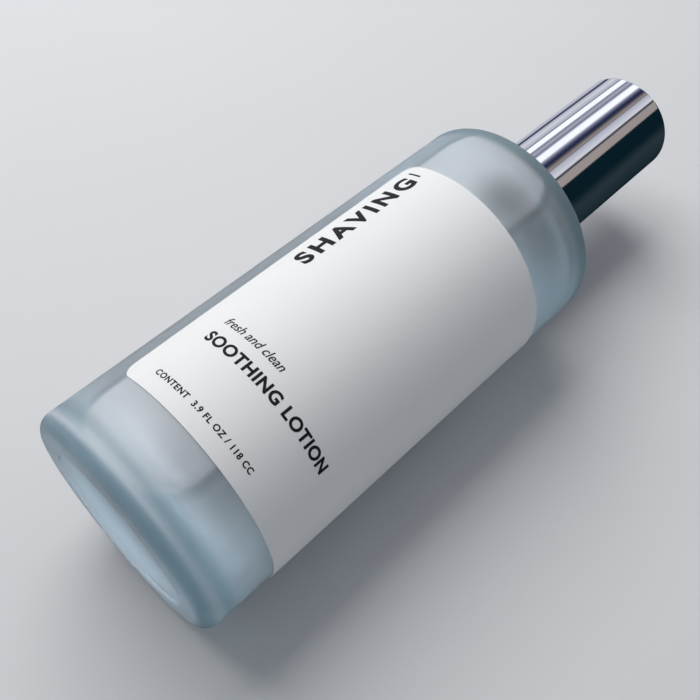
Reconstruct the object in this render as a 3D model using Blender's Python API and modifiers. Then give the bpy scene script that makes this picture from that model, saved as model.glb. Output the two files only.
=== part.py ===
"""A cylindrical glass bottle of aftershave mist with a fine mist sprayer under a tall metal overcap.

The bottle stands upright: +Z is its axis, the origin is the centre of its foot and the front
label faces -Y. All sizes are in metres. Pieces that touch in the real object keep a small gap.
"""
import math

import bmesh
import bpy
from mathutils import Matrix, Vector

# Driving dimensions of the bottle
BODY_RADIUS = 0.0235
BODY_HEIGHT = 0.1052          # foot to the flat top of the shoulder
SHOULDER_ROUND = 0.0020
HEEL_ROUND = 0.0030
FOOT_RADIUS = 0.0166          # inner edge of the ring it stands on
PUSH_UP = 0.0014              # height of the hollow inside the foot ring
GLASS_WALL = 0.0030
FLOOR_HEIGHT = 0.0062
INNER_HEEL = 0.0050
INNER_SHOULDER = 0.0040
SHOULDER_WALL = 0.0036
NECK_RADIUS = 0.0078
NECK_HEIGHT = 0.0150
NECK_BORE = 0.0052
THREAD_DEPTH = 0.00105
THREAD_PITCH = 0.003175
THREAD_TURNS = 1.5
THREAD_START = 0.0070         # below the neck's top
LIQUID_LEVEL = 0.0937

# Driving dimensions of the labels
LABEL_BOTTOM = 0.0150
LABEL_TOP = 0.0868
LABEL_CORNER = 0.0028
LABEL_THICKNESS = 0.00015
FRONT_LABEL_ANGLE = 150.0     # degrees of the body that the label wraps
BACK_LABEL_ANGLE = 105.0

# Driving dimensions of the overcap and the sprayer
OVERCAP_RADIUS = 0.0120
OVERCAP_HEIGHT = 0.0476
OVERCAP_ROUND = 0.0009
OVERCAP_SHELL = 0.0006
OVERCAP_ROOF = 0.0010
LINER_WALL_TOP = 0.0010
RIB_COUNT = 8
RIB_HEIGHT = 0.00020
COLLAR_RADIUS = 0.0102
COLLAR_SHELL = 0.0004
COLLAR_HOLE = 0.0050
COLLAR_ROOF = 0.0005
NUT_ROOF = 0.0010
NUT_THREAD_ANGLE = 4.0        # where the nut's thread starts, in degrees round from +X
HOUSING_RADIUS = 0.0042
HOUSING_BORE = 0.00315
STEM_RADIUS = 0.0019
STEM_CHANNEL = 0.0009
BUTTON_RADIUS = 0.00655
BUTTON_HEIGHT = 0.0102
STROKE = 0.0045
TUBE_RADIUS = 0.00155
BALL_RADIUS = 0.00125
BALL_CHAMBER = 0.0019
INLET_RADIUS = 0.0008

# Gaps and facets
ROUND_GAP = 0.00025           # between round walls that face each other
FLAT_GAP = 0.0001             # between flat faces that touch
WELD = 0.00001
BODY_STEPS = 48
CLOSURE_STEPS = 36
PUMP_STEPS = 20
SMALL_STEPS = 16

# Heights that the pieces share
NECK_TOP = BODY_HEIGHT + NECK_HEIGHT
OVERCAP_BOTTOM = BODY_HEIGHT + 0.0003
GASKET_BOTTOM = NECK_TOP + FLAT_GAP
GASKET_THICKNESS = 0.0008
FLANGE_BOTTOM = GASKET_BOTTOM + GASKET_THICKNESS + FLAT_GAP
FLANGE_TOP = FLANGE_BOTTOM + 0.0012
NUT_TOP = FLANGE_TOP + FLAT_GAP + NUT_ROOF
COLLAR_TOP = NUT_TOP + FLAT_GAP + COLLAR_ROOF
TURRET_TOP = COLLAR_TOP + 0.0023
BUTTON_BOTTOM = COLLAR_TOP + STROKE + 0.0008
BUTTON_TOP = BUTTON_BOTTOM + BUTTON_HEIGHT
STEM_TOP = BUTTON_BOTTOM + 0.0057
NOZZLE_HEIGHT = BUTTON_BOTTOM + 0.0070
STEM_FLANGE_BOTTOM = FLANGE_TOP - 0.0065
PLUG_BOTTOM = FLANGE_TOP - 0.0028
SOCKET_BOTTOM = LIQUID_LEVEL + 0.0009
TUBE_STOP = SOCKET_BOTTOM + 0.0040
SEAT_BOTTOM = TUBE_STOP + 0.0010
CAGE_LEDGE = SEAT_BOTTOM + 0.0034


def arc(centre_r, centre_z, radius, start, end, count):
    """Points of a circular arc in the (r, z) half plane, between two angles in degrees."""
    points = []
    for index in range(count + 1):
        angle = math.radians(start + (end - start) * index / count)
        points.append((centre_r + radius * math.cos(angle), centre_z + radius * math.sin(angle)))
    return points


def material(name, colour, roughness, metallic=0.0, transmission=0.0):
    """A plain Principled material."""
    result = bpy.data.materials.new(name)
    result.use_nodes = True
    shader = result.node_tree.nodes["Principled BSDF"]
    shader.inputs["Base Color"].default_value = (*colour, 1.0)
    shader.inputs["Roughness"].default_value = roughness
    shader.inputs["Metallic"].default_value = metallic
    shader.inputs["Transmission Weight"].default_value = transmission
    result.diffuse_color = (*colour, 1.0)
    return result


def collection(name):
    """A new collection in the scene."""
    result = bpy.data.collections.new(name)
    bpy.context.scene.collection.children.link(result)
    return result


def clear_scene():
    """Remove every object that is already in the scene."""
    for obj in list(bpy.data.objects):
        bpy.data.objects.remove(obj, do_unlink=True)


def add_object(name, mesh, parent, height=0.0):
    """Place a mesh on the bottle's axis at a height, as a child of a body's empty."""
    obj = bpy.data.objects.new(name, mesh)
    PARTS.objects.link(obj)
    obj.parent = parent
    obj.location = (0.0, 0.0, height - parent.location.z)
    return obj


def body(name, height):
    """An empty on the bottle's axis that carries the pieces of one moving body."""
    empty = bpy.data.objects.new(name, None)
    empty.empty_display_size = 0.01
    empty.location = (0.0, 0.0, height)
    PARTS.objects.link(empty)
    return empty


def outline_mesh(name, outline, closed=False):
    """An outline in the (r, z) half plane, as edges for a Screw modifier to turn."""
    mesh = bpy.data.meshes.new(name)
    edges = [(index, index + 1) for index in range(len(outline) - 1)]
    if closed:
        edges.append((len(outline) - 1, 0))
    mesh.from_pydata([(r, 0.0, z) for r, z in outline], edges, [])
    return mesh


def add_screw(obj, steps, angle=360.0):
    """Turn an outline about the object's own Z axis."""
    screw = obj.modifiers.new("Turn", "SCREW")
    screw.axis = "Z"
    screw.angle = math.radians(angle)
    screw.steps = steps
    screw.render_steps = steps
    screw.use_merge_vertices = angle == 360.0
    screw.merge_threshold = WELD
    screw.use_smooth_shade = True


def turned(name, outline, parent, look, steps, closed=False):
    """A solid of revolution; its outline runs down the outer side, and up any inner side."""
    mesh = outline_mesh(name, outline, closed)
    mesh.materials.append(look)
    obj = add_object(name, mesh, parent)
    add_screw(obj, steps)
    return obj


def smooth(mesh, angle=35.0):
    """Shade a mesh smooth except across sharp edges."""
    mesh.shade_smooth()
    mesh.set_sharp_from_angle(angle=math.radians(angle))


def cutter(name, mesh, matrix):
    """A guide object that a Boolean cuts or joins with; it is no piece of the model."""
    obj = bpy.data.objects.new(name, mesh)
    CUTTERS.objects.link(obj)
    obj.matrix_world = matrix
    obj.hide_render = True
    obj.display_type = "WIRE"
    return obj


def boolean(obj, other, operation):
    """Join or cut an object with a cutter."""
    modifier = obj.modifiers.new(operation.title(), "BOOLEAN")
    modifier.operation = operation
    modifier.solver = "EXACT"
    modifier.object = other


def cylinder_mesh(name, radius, length, steps):
    """A closed cylinder along Z from 0 to its length."""
    model = bmesh.new()
    lift = Matrix.Translation((0.0, 0.0, length / 2.0))
    bmesh.ops.create_cone(model, cap_ends=True, segments=steps, radius1=radius, radius2=radius,
                          depth=length, matrix=lift)
    mesh = bpy.data.meshes.new(name)
    model.to_mesh(mesh)
    model.free()
    return mesh


def thread_mesh(name, section, pitch, turns, steps_per_turn):
    """A helical ridge: a section in the (r, z) half plane is spun up a right-hand helix."""
    model = bmesh.new()
    corners = [model.verts.new((r, 0.0, z)) for r, z in section]
    model.faces.new(corners)
    steps = round(turns * steps_per_turn)
    rise = Vector((0.0, 0.0, pitch / steps_per_turn))
    bmesh.ops.spin(model, geom=model.verts[:] + model.edges[:] + model.faces[:], cent=(0, 0, 0),
                   axis=(0, 0, 1), dvec=rise, angle=2.0 * math.pi * turns, steps=steps)
    bmesh.ops.remove_doubles(model, verts=model.verts[:], dist=WELD)
    bmesh.ops.recalc_face_normals(model, faces=model.faces[:])
    mesh = bpy.data.meshes.new(name)
    model.to_mesh(mesh)
    model.free()
    return mesh


def thread_section(root, crest):
    """The thread's trapezoid, centred on z = 0, from its root radius to its crest radius."""
    half_root = 0.00085
    half_crest = 0.00035
    return [(root, half_root), (crest, half_crest), (crest, -half_crest), (root, -half_root)]


def glass_outline():
    """The bottle's wall, from the middle of its floor up the inside and down the outside."""
    inner = BODY_RADIUS - GLASS_WALL
    inner_top = BODY_HEIGHT - SHOULDER_WALL
    bore_round = 0.0015
    neck_fillet = 0.0012
    lip_round = 0.0005
    outline = [(0.0, FLOOR_HEIGHT)]
    outline += arc(inner - INNER_HEEL, FLOOR_HEIGHT + INNER_HEEL, INNER_HEEL, -90, 0, 4)
    outline += arc(inner - INNER_SHOULDER, inner_top - INNER_SHOULDER, INNER_SHOULDER, 0, 90, 4)
    outline += arc(NECK_BORE + bore_round, inner_top + bore_round, bore_round, 270, 180, 2)
    outline.append((NECK_BORE, NECK_TOP))
    outline += arc(NECK_RADIUS - lip_round, NECK_TOP - lip_round, lip_round, 90, 0, 2)
    outline += arc(NECK_RADIUS + neck_fillet, BODY_HEIGHT + neck_fillet, neck_fillet, 180, 270, 2)
    outline += arc(BODY_RADIUS - SHOULDER_ROUND, BODY_HEIGHT - SHOULDER_ROUND, SHOULDER_ROUND,
                   90, 0, 4)
    outline += arc(BODY_RADIUS - HEEL_ROUND, HEEL_ROUND, HEEL_ROUND, 0, -90, 4)
    dome_radius = (FOOT_RADIUS ** 2 + PUSH_UP ** 2) / (2.0 * PUSH_UP)
    dome_angle = math.degrees(math.asin(FOOT_RADIUS / dome_radius))
    outline += arc(0.0, PUSH_UP - dome_radius, dome_radius, 90 - dome_angle, 90, 3)
    outline[-1] = (0.0, PUSH_UP)
    return outline


def add_glass_bottle(parent):
    """The bottle: thick wall, pushed-up foot, square shoulder and threaded neck."""
    glass = material("etched_glass", (0.62, 0.72, 0.76), 0.45, transmission=1.0)
    bottle = turned("glass_bottle", glass_outline(), parent, glass, BODY_STEPS)
    section = thread_section(NECK_RADIUS - 0.0003, NECK_RADIUS + THREAD_DEPTH)
    ridge = thread_mesh("neck_thread", section, THREAD_PITCH, THREAD_TURNS, BODY_STEPS // 2)
    start = Matrix.Translation((0.0, 0.0, NECK_TOP - THREAD_START))
    boolean(bottle, cutter("neck_thread", ridge, start), "UNION")


def add_liquid(parent):
    """The contents, level as the bottle stands, with a round pocket where the dip tube hangs."""
    water = material("aftershave_liquid", (0.80, 0.88, 0.90), 0.02, transmission=1.0)
    pocket = TUBE_RADIUS + ROUND_GAP
    pocket_bottom = FLOOR_HEIGHT + 0.0015
    radius = BODY_RADIUS - GLASS_WALL - ROUND_GAP
    floor = FLOOR_HEIGHT + ROUND_GAP
    heel = INNER_HEEL - ROUND_GAP
    outline = [(0.0, pocket_bottom), (pocket, pocket_bottom), (pocket, LIQUID_LEVEL)]
    outline.append((radius, LIQUID_LEVEL))
    outline += arc(radius - heel, floor + heel, heel, 0, -90, 4)
    outline.append((0.0, floor))
    turned("aftershave_liquid", outline, parent, water, BODY_STEPS)


def corner_cutter_mesh(name, size):
    """A square prism along Y less a quarter round: it rounds a label's corner at +X, +Z."""
    reach = size * 1.4
    outer = [(size, 0.0), (reach, 0.0), (reach, reach), (0.0, reach), (0.0, size)]
    steps = 5
    curve = []
    for index in range(1, steps):
        angle = math.radians(90.0 - 90.0 * index / steps)
        curve.append((size * math.cos(angle), size * math.sin(angle)))
    points = outer + curve
    model = bmesh.new()
    face = model.faces.new([model.verts.new((x, 0.0, z)) for x, z in points])
    extruded = bmesh.ops.extrude_face_region(model, geom=[face])
    moved = [item for item in extruded["geom"] if isinstance(item, bmesh.types.BMVert)]
    bmesh.ops.translate(model, vec=(0.0, -2.0 * size, 0.0), verts=moved)
    bmesh.ops.recalc_face_normals(model, faces=model.faces[:])
    mesh = bpy.data.meshes.new(name)
    model.to_mesh(mesh)
    model.free()
    return mesh


def add_label(name, parent, look, facing, wrap):
    """A thin label wrapped on the body about the direction it faces, in degrees from +X."""
    inner = BODY_RADIUS + FLAT_GAP
    outer = inner + LABEL_THICKNESS
    height = LABEL_TOP - LABEL_BOTTOM
    section = [(inner, height), (outer, height), (outer, 0.0), (inner, 0.0)]
    mesh = outline_mesh(name, section, closed=True)
    steps = round(wrap * BODY_STEPS / 360.0)
    label = bpy.data.objects.new(name, mesh)
    PARTS.objects.link(label)
    add_screw(label, steps, wrap)
    bpy.context.view_layer.update()
    graph = bpy.context.evaluated_depsgraph_get()
    swept = bpy.data.meshes.new_from_object(label.evaluated_get(graph))
    label.modifiers.clear()
    label.data = swept
    close_ends(swept)
    swept.materials.clear()
    swept.materials.append(look)
    label.parent = parent
    label.location = (0.0, 0.0, LABEL_BOTTOM)
    first = facing - wrap / 2.0
    label.rotation_euler = (0.0, 0.0, math.radians(first))
    half_corner = math.degrees(LABEL_CORNER / outer)
    for side, angle in (("start", first + half_corner), ("end", first + wrap - half_corner)):
        for level, z in (("low", LABEL_BOTTOM + LABEL_CORNER), ("high", LABEL_TOP - LABEL_CORNER)):
            add_corner(label, f"{name}_{side}_{level}", angle, z, side == "start", level == "low")


def add_corner(label, name, angle, height, mirror_x, mirror_z):
    """Round one corner of a label with a cutter that stands square to the body there."""
    mesh = corner_cutter_mesh(name, LABEL_CORNER)
    flip = Matrix.Diagonal((-1.0 if mirror_x else 1.0, 1.0, -1.0 if mirror_z else 1.0, 1.0))
    mesh.transform(flip)
    if mirror_x != mirror_z:
        mesh.flip_normals()
    turn = Matrix.Rotation(math.radians(angle + 90.0), 4, "Z")
    out = Matrix.Translation((0.0, -BODY_RADIUS + LABEL_CORNER, height))
    boolean(label, cutter(name, mesh, turn @ out), "DIFFERENCE")


def close_ends(mesh):
    """Weld a swept strip and fill the openings at its two ends."""
    model = bmesh.new()
    model.from_mesh(mesh)
    bmesh.ops.remove_doubles(model, verts=model.verts[:], dist=WELD)
    bmesh.ops.holes_fill(model, edges=[edge for edge in model.edges if edge.is_boundary])
    bmesh.ops.recalc_face_normals(model, faces=model.faces[:])
    model.to_mesh(mesh)
    model.free()
    smooth(mesh)


def add_labels(parent):
    """The large front label and the smaller back label."""
    paper = material("label_film", (0.86, 0.86, 0.86), 0.6)
    add_label("front_label", parent, paper, -90.0, FRONT_LABEL_ANGLE)
    add_label("back_label", parent, paper, 90.0, BACK_LABEL_ANGLE)


def add_overcap(parent):
    """The overcap: a bright metal shell on a plastic liner whose ribs grip the collar."""
    chrome = material("bright_metal", (0.86, 0.87, 0.90), 0.06, metallic=1.0)
    liner_look = material("liner_plastic", (0.86, 0.86, 0.85), 0.45)
    top = OVERCAP_BOTTOM + OVERCAP_HEIGHT
    inner = OVERCAP_RADIUS - OVERCAP_SHELL
    ceiling = top - OVERCAP_ROOF
    inside_round = 0.0005
    shell = [(0.0, top)]
    shell += arc(OVERCAP_RADIUS - OVERCAP_ROUND, top - OVERCAP_ROUND, OVERCAP_ROUND, 90, 0, 4)
    shell += [(OVERCAP_RADIUS, OVERCAP_BOTTOM), (inner, OVERCAP_BOTTOM)]
    shell += arc(inner - inside_round, ceiling - inside_round, inside_round, 0, 90, 2)
    shell.append((0.0, ceiling))
    turned("overcap_shell", shell, parent, chrome, CLOSURE_STEPS)

    liner_radius = inner - ROUND_GAP
    liner_inner = COLLAR_RADIUS + RIB_HEIGHT + 0.00015
    liner_top = ceiling - FLAT_GAP
    liner_ceiling = liner_top - LINER_WALL_TOP
    liner_bottom = OVERCAP_BOTTOM + 0.0005
    liner_round = 0.0007
    lead_in = 0.0006
    liner = [(0.0, liner_top)]
    liner += arc(liner_radius - liner_round, liner_top - liner_round, liner_round, 90, 0, 2)
    liner += [(liner_radius, liner_bottom), (liner_inner + lead_in / 3.0, liner_bottom)]
    liner += [(liner_inner, liner_bottom + lead_in), (liner_inner, liner_ceiling)]
    liner.append((0.0, liner_ceiling))
    liner_cup = turned("overcap_liner", liner, parent, liner_look, CLOSURE_STEPS)
    add_grip_ribs(liner_cup, liner_inner, liner_bottom)


def add_grip_ribs(liner, liner_inner, liner_bottom):
    """Low round ribs up the inside of the liner, each half sunk in its wall."""
    rib_radius = 0.0004
    length = 0.0150
    start = liner_bottom + 0.0012
    for index in range(RIB_COUNT):
        name = f"grip_rib_{index + 1}"
        mesh = cylinder_mesh(name, rib_radius, length, 10)
        turn = Matrix.Rotation(2.0 * math.pi * (index + 0.5) / RIB_COUNT, 4, "Z")
        out = Matrix.Translation((liner_inner + rib_radius - RIB_HEIGHT, 0.0, start))
        boolean(liner, cutter(name, mesh, turn @ out), "UNION")


def add_collar(parent):
    """The screw collar: a metal ferrule over a plastic nut with the inner thread."""
    satin = material("satin_aluminium", (0.78, 0.79, 0.81), 0.25, metallic=1.0)
    plastic = material("nut_plastic", (0.88, 0.88, 0.87), 0.45)
    bottom = BODY_HEIGHT + 0.0010
    inner = COLLAR_RADIUS - COLLAR_SHELL
    crown = 0.0010
    roof = COLLAR_TOP - COLLAR_ROOF
    chamfer = 0.0008
    ferrule = [(COLLAR_HOLE, COLLAR_TOP)]
    ferrule += arc(COLLAR_RADIUS - crown, COLLAR_TOP - crown, crown, 90, 0, 3)
    ferrule += [(COLLAR_RADIUS, bottom), (inner, bottom), (inner, roof - chamfer)]
    ferrule += [(inner - chamfer, roof), (COLLAR_HOLE, roof)]
    turned("collar_shell", ferrule, parent, satin, CLOSURE_STEPS, closed=True)

    nut_radius = inner - 0.0002
    nut_hole = COLLAR_HOLE + 0.0003
    nut_bottom = bottom + 0.0003
    nut_roof = NUT_TOP - NUT_ROOF
    nut_chamfer = 0.0009
    thread_root = NECK_RADIUS + THREAD_DEPTH + ROUND_GAP
    nut = [(nut_hole, NUT_TOP), (nut_radius - nut_chamfer, NUT_TOP)]
    nut += [(nut_radius, NUT_TOP - nut_chamfer), (nut_radius, nut_bottom)]
    nut += [(thread_root, nut_bottom), (thread_root, nut_roof), (nut_hole, nut_roof)]
    insert = turned("collar_insert", nut, parent, plastic, CLOSURE_STEPS, closed=True)
    section = thread_section(thread_root + 0.0003, thread_root - 0.0007)
    ridge = thread_mesh("nut_thread", section, THREAD_PITCH, THREAD_TURNS, PUMP_STEPS)
    below = NECK_TOP - THREAD_START - THREAD_PITCH / 2.0
    start = Matrix.Translation((0.0, 0.0, below + THREAD_PITCH * NUT_THREAD_ANGLE / 360.0))
    turn = Matrix.Rotation(math.radians(NUT_THREAD_ANGLE), 4, "Z")
    boolean(insert, cutter("nut_thread", ridge, start @ turn), "UNION")


def add_pump(parent):
    """The pieces of the pump that stay with the collar."""
    natural = material("pump_plastic", (0.90, 0.91, 0.91), 0.35)
    soft = material("gasket_rubber", (0.82, 0.83, 0.84), 0.6)
    steel = material("spring_steel", (0.72, 0.73, 0.75), 0.25, metallic=1.0)
    gasket_top = GASKET_BOTTOM + GASKET_THICKNESS
    gasket_hole = NECK_BORE + 0.0002
    gasket_rim = 0.0085
    gasket = [(gasket_hole, gasket_top), (gasket_rim, gasket_top)]
    gasket += [(gasket_rim, GASKET_BOTTOM), (gasket_hole, GASKET_BOTTOM)]
    turned("neck_gasket", gasket, parent, soft, CLOSURE_STEPS, closed=True)

    flange_radius = 0.0087
    socket_radius = 0.0027
    socket_bore = TUBE_RADIUS + ROUND_GAP
    cone_top = SEAT_BOTTOM + BALL_CHAMBER - INLET_RADIUS
    housing = [(HOUSING_BORE, FLANGE_TOP), (flange_radius, FLANGE_TOP)]
    housing += [(flange_radius, FLANGE_BOTTOM), (HOUSING_RADIUS, FLANGE_BOTTOM)]
    housing += [(HOUSING_RADIUS, TUBE_STOP + 0.0018), (socket_radius, TUBE_STOP + 0.0003)]
    housing += [(socket_radius, SOCKET_BOTTOM), (socket_bore, SOCKET_BOTTOM)]
    housing += [(socket_bore, TUBE_STOP), (INLET_RADIUS, TUBE_STOP), (INLET_RADIUS, SEAT_BOTTOM)]
    housing += [(BALL_CHAMBER, cone_top), (BALL_CHAMBER, CAGE_LEDGE), (HOUSING_BORE, CAGE_LEDGE)]
    turned("pump_housing", housing, parent, natural, PUMP_STEPS, closed=True)

    hole = STEM_RADIUS + ROUND_GAP
    neck = COLLAR_HOLE - 0.0003
    plug = HOUSING_BORE - 0.0002
    edge = 0.0007
    turret_foot = FLANGE_TOP + FLAT_GAP
    turret = [(hole, TURRET_TOP)]
    turret += arc(neck - edge, TURRET_TOP - edge, edge, 90, 0, 2)
    turret += [(neck, turret_foot), (plug, turret_foot), (plug, PLUG_BOTTOM), (hole, PLUG_BOTTOM)]
    turned("pump_turret", turret, parent, natural, PUMP_STEPS, closed=True)

    cage_bottom = CAGE_LEDGE + 0.0002
    cage_top = cage_bottom + 0.0010
    spigot_top = cage_top + 0.0014
    spigot = 0.00165
    cage_hole = 0.0009
    cage_rim = HOUSING_BORE - ROUND_GAP
    cage = [(cage_hole, spigot_top), (spigot, spigot_top), (spigot, cage_top)]
    cage += [(cage_rim, cage_top), (cage_rim, cage_bottom), (cage_hole, cage_bottom)]
    turned("ball_cage", cage, parent, natural, PUMP_STEPS, closed=True)

    add_dip_tube(parent, natural)
    add_spring(parent, steel, cage_top)


def add_dip_tube(parent, look):
    """The dip tube, a straight pipe whose lower end is cut on the slant."""
    bottom = FLOOR_HEIGHT + 0.0020
    top = TUBE_STOP - 0.0002
    bore = 0.00095
    outline = [(bore, top), (TUBE_RADIUS, top), (TUBE_RADIUS, bottom), (bore, bottom)]
    tube = turned("dip_tube", outline, parent, look, SMALL_STEPS, closed=True)
    size = 0.0060
    block = cylinder_mesh("tube_slant", size, size, 4)
    tilt = Matrix.Rotation(math.radians(35.0), 4, "X")
    place = Matrix.Translation((0.0, 0.0, bottom + 0.75 * TUBE_RADIUS))
    drop = Matrix.Translation((0.0, 0.0, -size))
    boolean(tube, cutter("tube_slant", block, place @ tilt @ drop), "DIFFERENCE")


def add_spring(parent, look, seat):
    """The return spring: a wire coil between the cage and the stem's flange."""
    wire = 0.00025
    coil_radius = 0.0024
    turns = 8
    points_per_turn = 10
    bottom = seat + wire + FLAT_GAP
    top = STEM_FLANGE_BOTTOM - wire - FLAT_GAP
    count = turns * points_per_turn
    curve = bpy.data.curves.new("return_spring", "CURVE")
    curve.dimensions = "3D"
    spline = curve.splines.new("POLY")
    spline.points.add(count)
    for index, point in enumerate(spline.points):
        share = index / count
        angle = 2.0 * math.pi * turns * share
        rise = bottom + (top - bottom) * share
        point.co = (coil_radius * math.cos(angle), coil_radius * math.sin(angle), rise, 1.0)
    curve.bevel_depth = wire
    curve.bevel_resolution = 1
    curve.use_fill_caps = True
    curve.materials.append(look)
    add_object("return_spring", curve, parent)


def add_plunger(parent):
    """The hollow stem with its flange, and the piston that it carries."""
    natural = material("stem_plastic", (0.90, 0.91, 0.91), 0.3)
    piston_look = material("piston_plastic", (0.80, 0.82, 0.84), 0.5)
    flange_top = STEM_FLANGE_BOTTOM + 0.0008
    channel_end = flange_top + 0.0012
    flange = 0.0027
    spigot = 0.0016
    spigot_end = STEM_FLANGE_BOTTOM - 0.0012
    stem = [(0.0, channel_end), (STEM_CHANNEL, channel_end), (STEM_CHANNEL, STEM_TOP)]
    stem += [(STEM_RADIUS, STEM_TOP), (STEM_RADIUS, flange_top), (flange, flange_top)]
    stem += [(flange, STEM_FLANGE_BOTTOM), (spigot, STEM_FLANGE_BOTTOM)]
    stem += [(spigot, spigot_end), (0.0, spigot_end)]
    turned("pump_stem", stem, parent, natural, PUMP_STEPS)

    low = flange_top + FLAT_GAP
    high = PLUG_BOTTOM - FLAT_GAP
    lip = HOUSING_BORE - ROUND_GAP
    groove = lip - 0.0003
    hole = STEM_RADIUS + 0.0002
    lip_height = 0.0005
    slope = 0.0009
    piston = [(hole, high), (lip, high), (lip, high - lip_height), (groove, high - slope)]
    piston += [(groove, low + slope), (lip, low + lip_height), (lip, low), (hole, low)]
    turned("pump_piston", piston, parent, piston_look, PUMP_STEPS, closed=True)


def add_actuator(parent):
    """The spray button in its metal sleeve, with the nozzle facing -Y."""
    plastic = material("button_plastic", (0.88, 0.88, 0.88), 0.4)
    satin = material("sleeve_aluminium", (0.78, 0.79, 0.81), 0.22, metallic=1.0)
    nozzle_look = material("nozzle_plastic", (0.80, 0.81, 0.82), 0.4)
    socket = STEM_RADIUS + ROUND_GAP
    skirt = 0.0051
    dish = 0.0008
    dish_edge = 0.0056
    dish_radius = (dish_edge ** 2 + dish ** 2) / (2.0 * dish)
    dish_angle = math.degrees(math.asin(dish_edge / dish_radius))
    button = arc(0.0, BUTTON_TOP - dish + dish_radius, dish_radius, 270, 270 + dish_angle, 4)
    button[0] = (0.0, BUTTON_TOP - dish)
    edge = 0.0006
    recess = BUTTON_BOTTOM + 0.0019
    socket_end = STEM_TOP + 0.0002
    button += arc(BUTTON_RADIUS - edge, BUTTON_TOP - edge, edge, 90, 0, 2)
    button += [(BUTTON_RADIUS, BUTTON_BOTTOM), (skirt, BUTTON_BOTTOM), (skirt, recess)]
    button += [(socket, recess), (socket, socket_end), (STEM_CHANNEL, socket_end)]
    button += [(STEM_CHANNEL, NOZZLE_HEIGHT), (0.0, NOZZLE_HEIGHT)]
    knob = turned("spray_button", button, parent, plastic, CLOSURE_STEPS)

    sleeve_inner = BUTTON_RADIUS + 0.0002
    sleeve_radius = sleeve_inner + 0.0004
    sleeve_top = BUTTON_TOP - 0.0004
    sleeve_edge = 0.00015
    sleeve = [(sleeve_inner, sleeve_top), (sleeve_radius - sleeve_edge, sleeve_top)]
    sleeve += [(sleeve_radius, sleeve_top - sleeve_edge), (sleeve_radius, BUTTON_BOTTOM)]
    sleeve.append((sleeve_inner, BUTTON_BOTTOM))
    ring = turned("button_sleeve", sleeve, parent, satin, CLOSURE_STEPS, closed=True)

    nozzle_radius = 0.0021
    nozzle_back = 0.0042
    nozzle_front = BUTTON_RADIUS + 0.0002
    tip = Matrix.Rotation(math.radians(90.0), 4, "X")
    forward = Matrix.Translation((0.0, 0.0, NOZZLE_HEIGHT)) @ tip
    past_front = 0.0060
    pocket = cylinder_mesh("nozzle_pocket", nozzle_radius + 0.0002, past_front, PUMP_STEPS)
    pocket_place = forward @ Matrix.Translation((0.0, 0.0, nozzle_back - 0.0002))
    boolean(knob, cutter("nozzle_pocket", pocket, pocket_place), "DIFFERENCE")
    channel = cylinder_mesh("nozzle_channel", 0.0007, nozzle_back + 0.0010, SMALL_STEPS)
    boolean(knob, cutter("nozzle_channel", channel, forward), "DIFFERENCE")
    window = cylinder_mesh("nozzle_window", nozzle_radius + 0.0005, past_front, PUMP_STEPS)
    window_place = forward @ Matrix.Translation((0.0, 0.0, nozzle_back))
    boolean(ring, cutter("nozzle_window", window, window_place), "DIFFERENCE")

    length = nozzle_front - nozzle_back
    orifice = 0.00025
    swirl = 0.0009
    swirl_end = length - 0.0008
    edge = 0.0002
    insert = [(orifice, length - 0.0003), (0.0008, length), (nozzle_radius - edge, length)]
    insert += [(nozzle_radius, length - edge), (nozzle_radius, 0.0), (swirl, 0.0)]
    insert += [(swirl, swirl_end), (orifice, swirl_end)]
    mesh = outline_mesh("nozzle_insert", insert, closed=True)
    mesh.materials.append(nozzle_look)
    nozzle = add_object("nozzle_insert", mesh, parent, NOZZLE_HEIGHT)
    nozzle.location.y = -nozzle_back
    nozzle.rotation_euler = (math.radians(90.0), 0.0, 0.0)
    add_screw(nozzle, PUMP_STEPS)


def add_ball(parent):
    """The inlet valve's ball, resting just above its cone."""
    steel = material("ball_steel", (0.75, 0.76, 0.78), 0.1, metallic=1.0)
    model = bmesh.new()
    bmesh.ops.create_uvsphere(model, u_segments=16, v_segments=10, radius=BALL_RADIUS)
    mesh = bpy.data.meshes.new("inlet_ball")
    model.to_mesh(mesh)
    model.free()
    mesh.materials.append(steel)
    smooth(mesh)
    add_object("inlet_ball", mesh, parent, parent.location.z)


clear_scene()
PARTS = collection("aftershave_bottle")
CUTTERS = collection("cutters")

bottle_body = body("bottle", 0.0)
add_glass_bottle(bottle_body)
add_liquid(bottle_body)
add_labels(bottle_body)
add_overcap(body("overcap", OVERCAP_BOTTOM))
add_collar(body("collar", BODY_HEIGHT))
add_pump(body("pump", NECK_TOP))
add_plunger(body("plunger", STEM_FLANGE_BOTTOM))
add_actuator(body("actuator", BUTTON_BOTTOM))
cone_tip = SEAT_BOTTOM - INLET_RADIUS
ball_height = cone_tip + math.sqrt(2.0) * (BALL_RADIUS + 0.00015)
add_ball(body("valve_ball", ball_height))
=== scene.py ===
"""Builds the looks of a glass aftershave bottle with a mist sprayer around its fixed frame.

The frame holds the bottle upright: +Z is its axis and the front label faces -Y. It is shown
lying on its side on a pale table, so the camera is rolled, and the table is a plane along the
bottle's side. All sizes are in metres.
"""
import math

import bmesh
import bpy
import numpy as np
from bpy.props import FloatProperty, FloatVectorProperty, PointerProperty
from mathutils import Matrix, Vector


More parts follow.
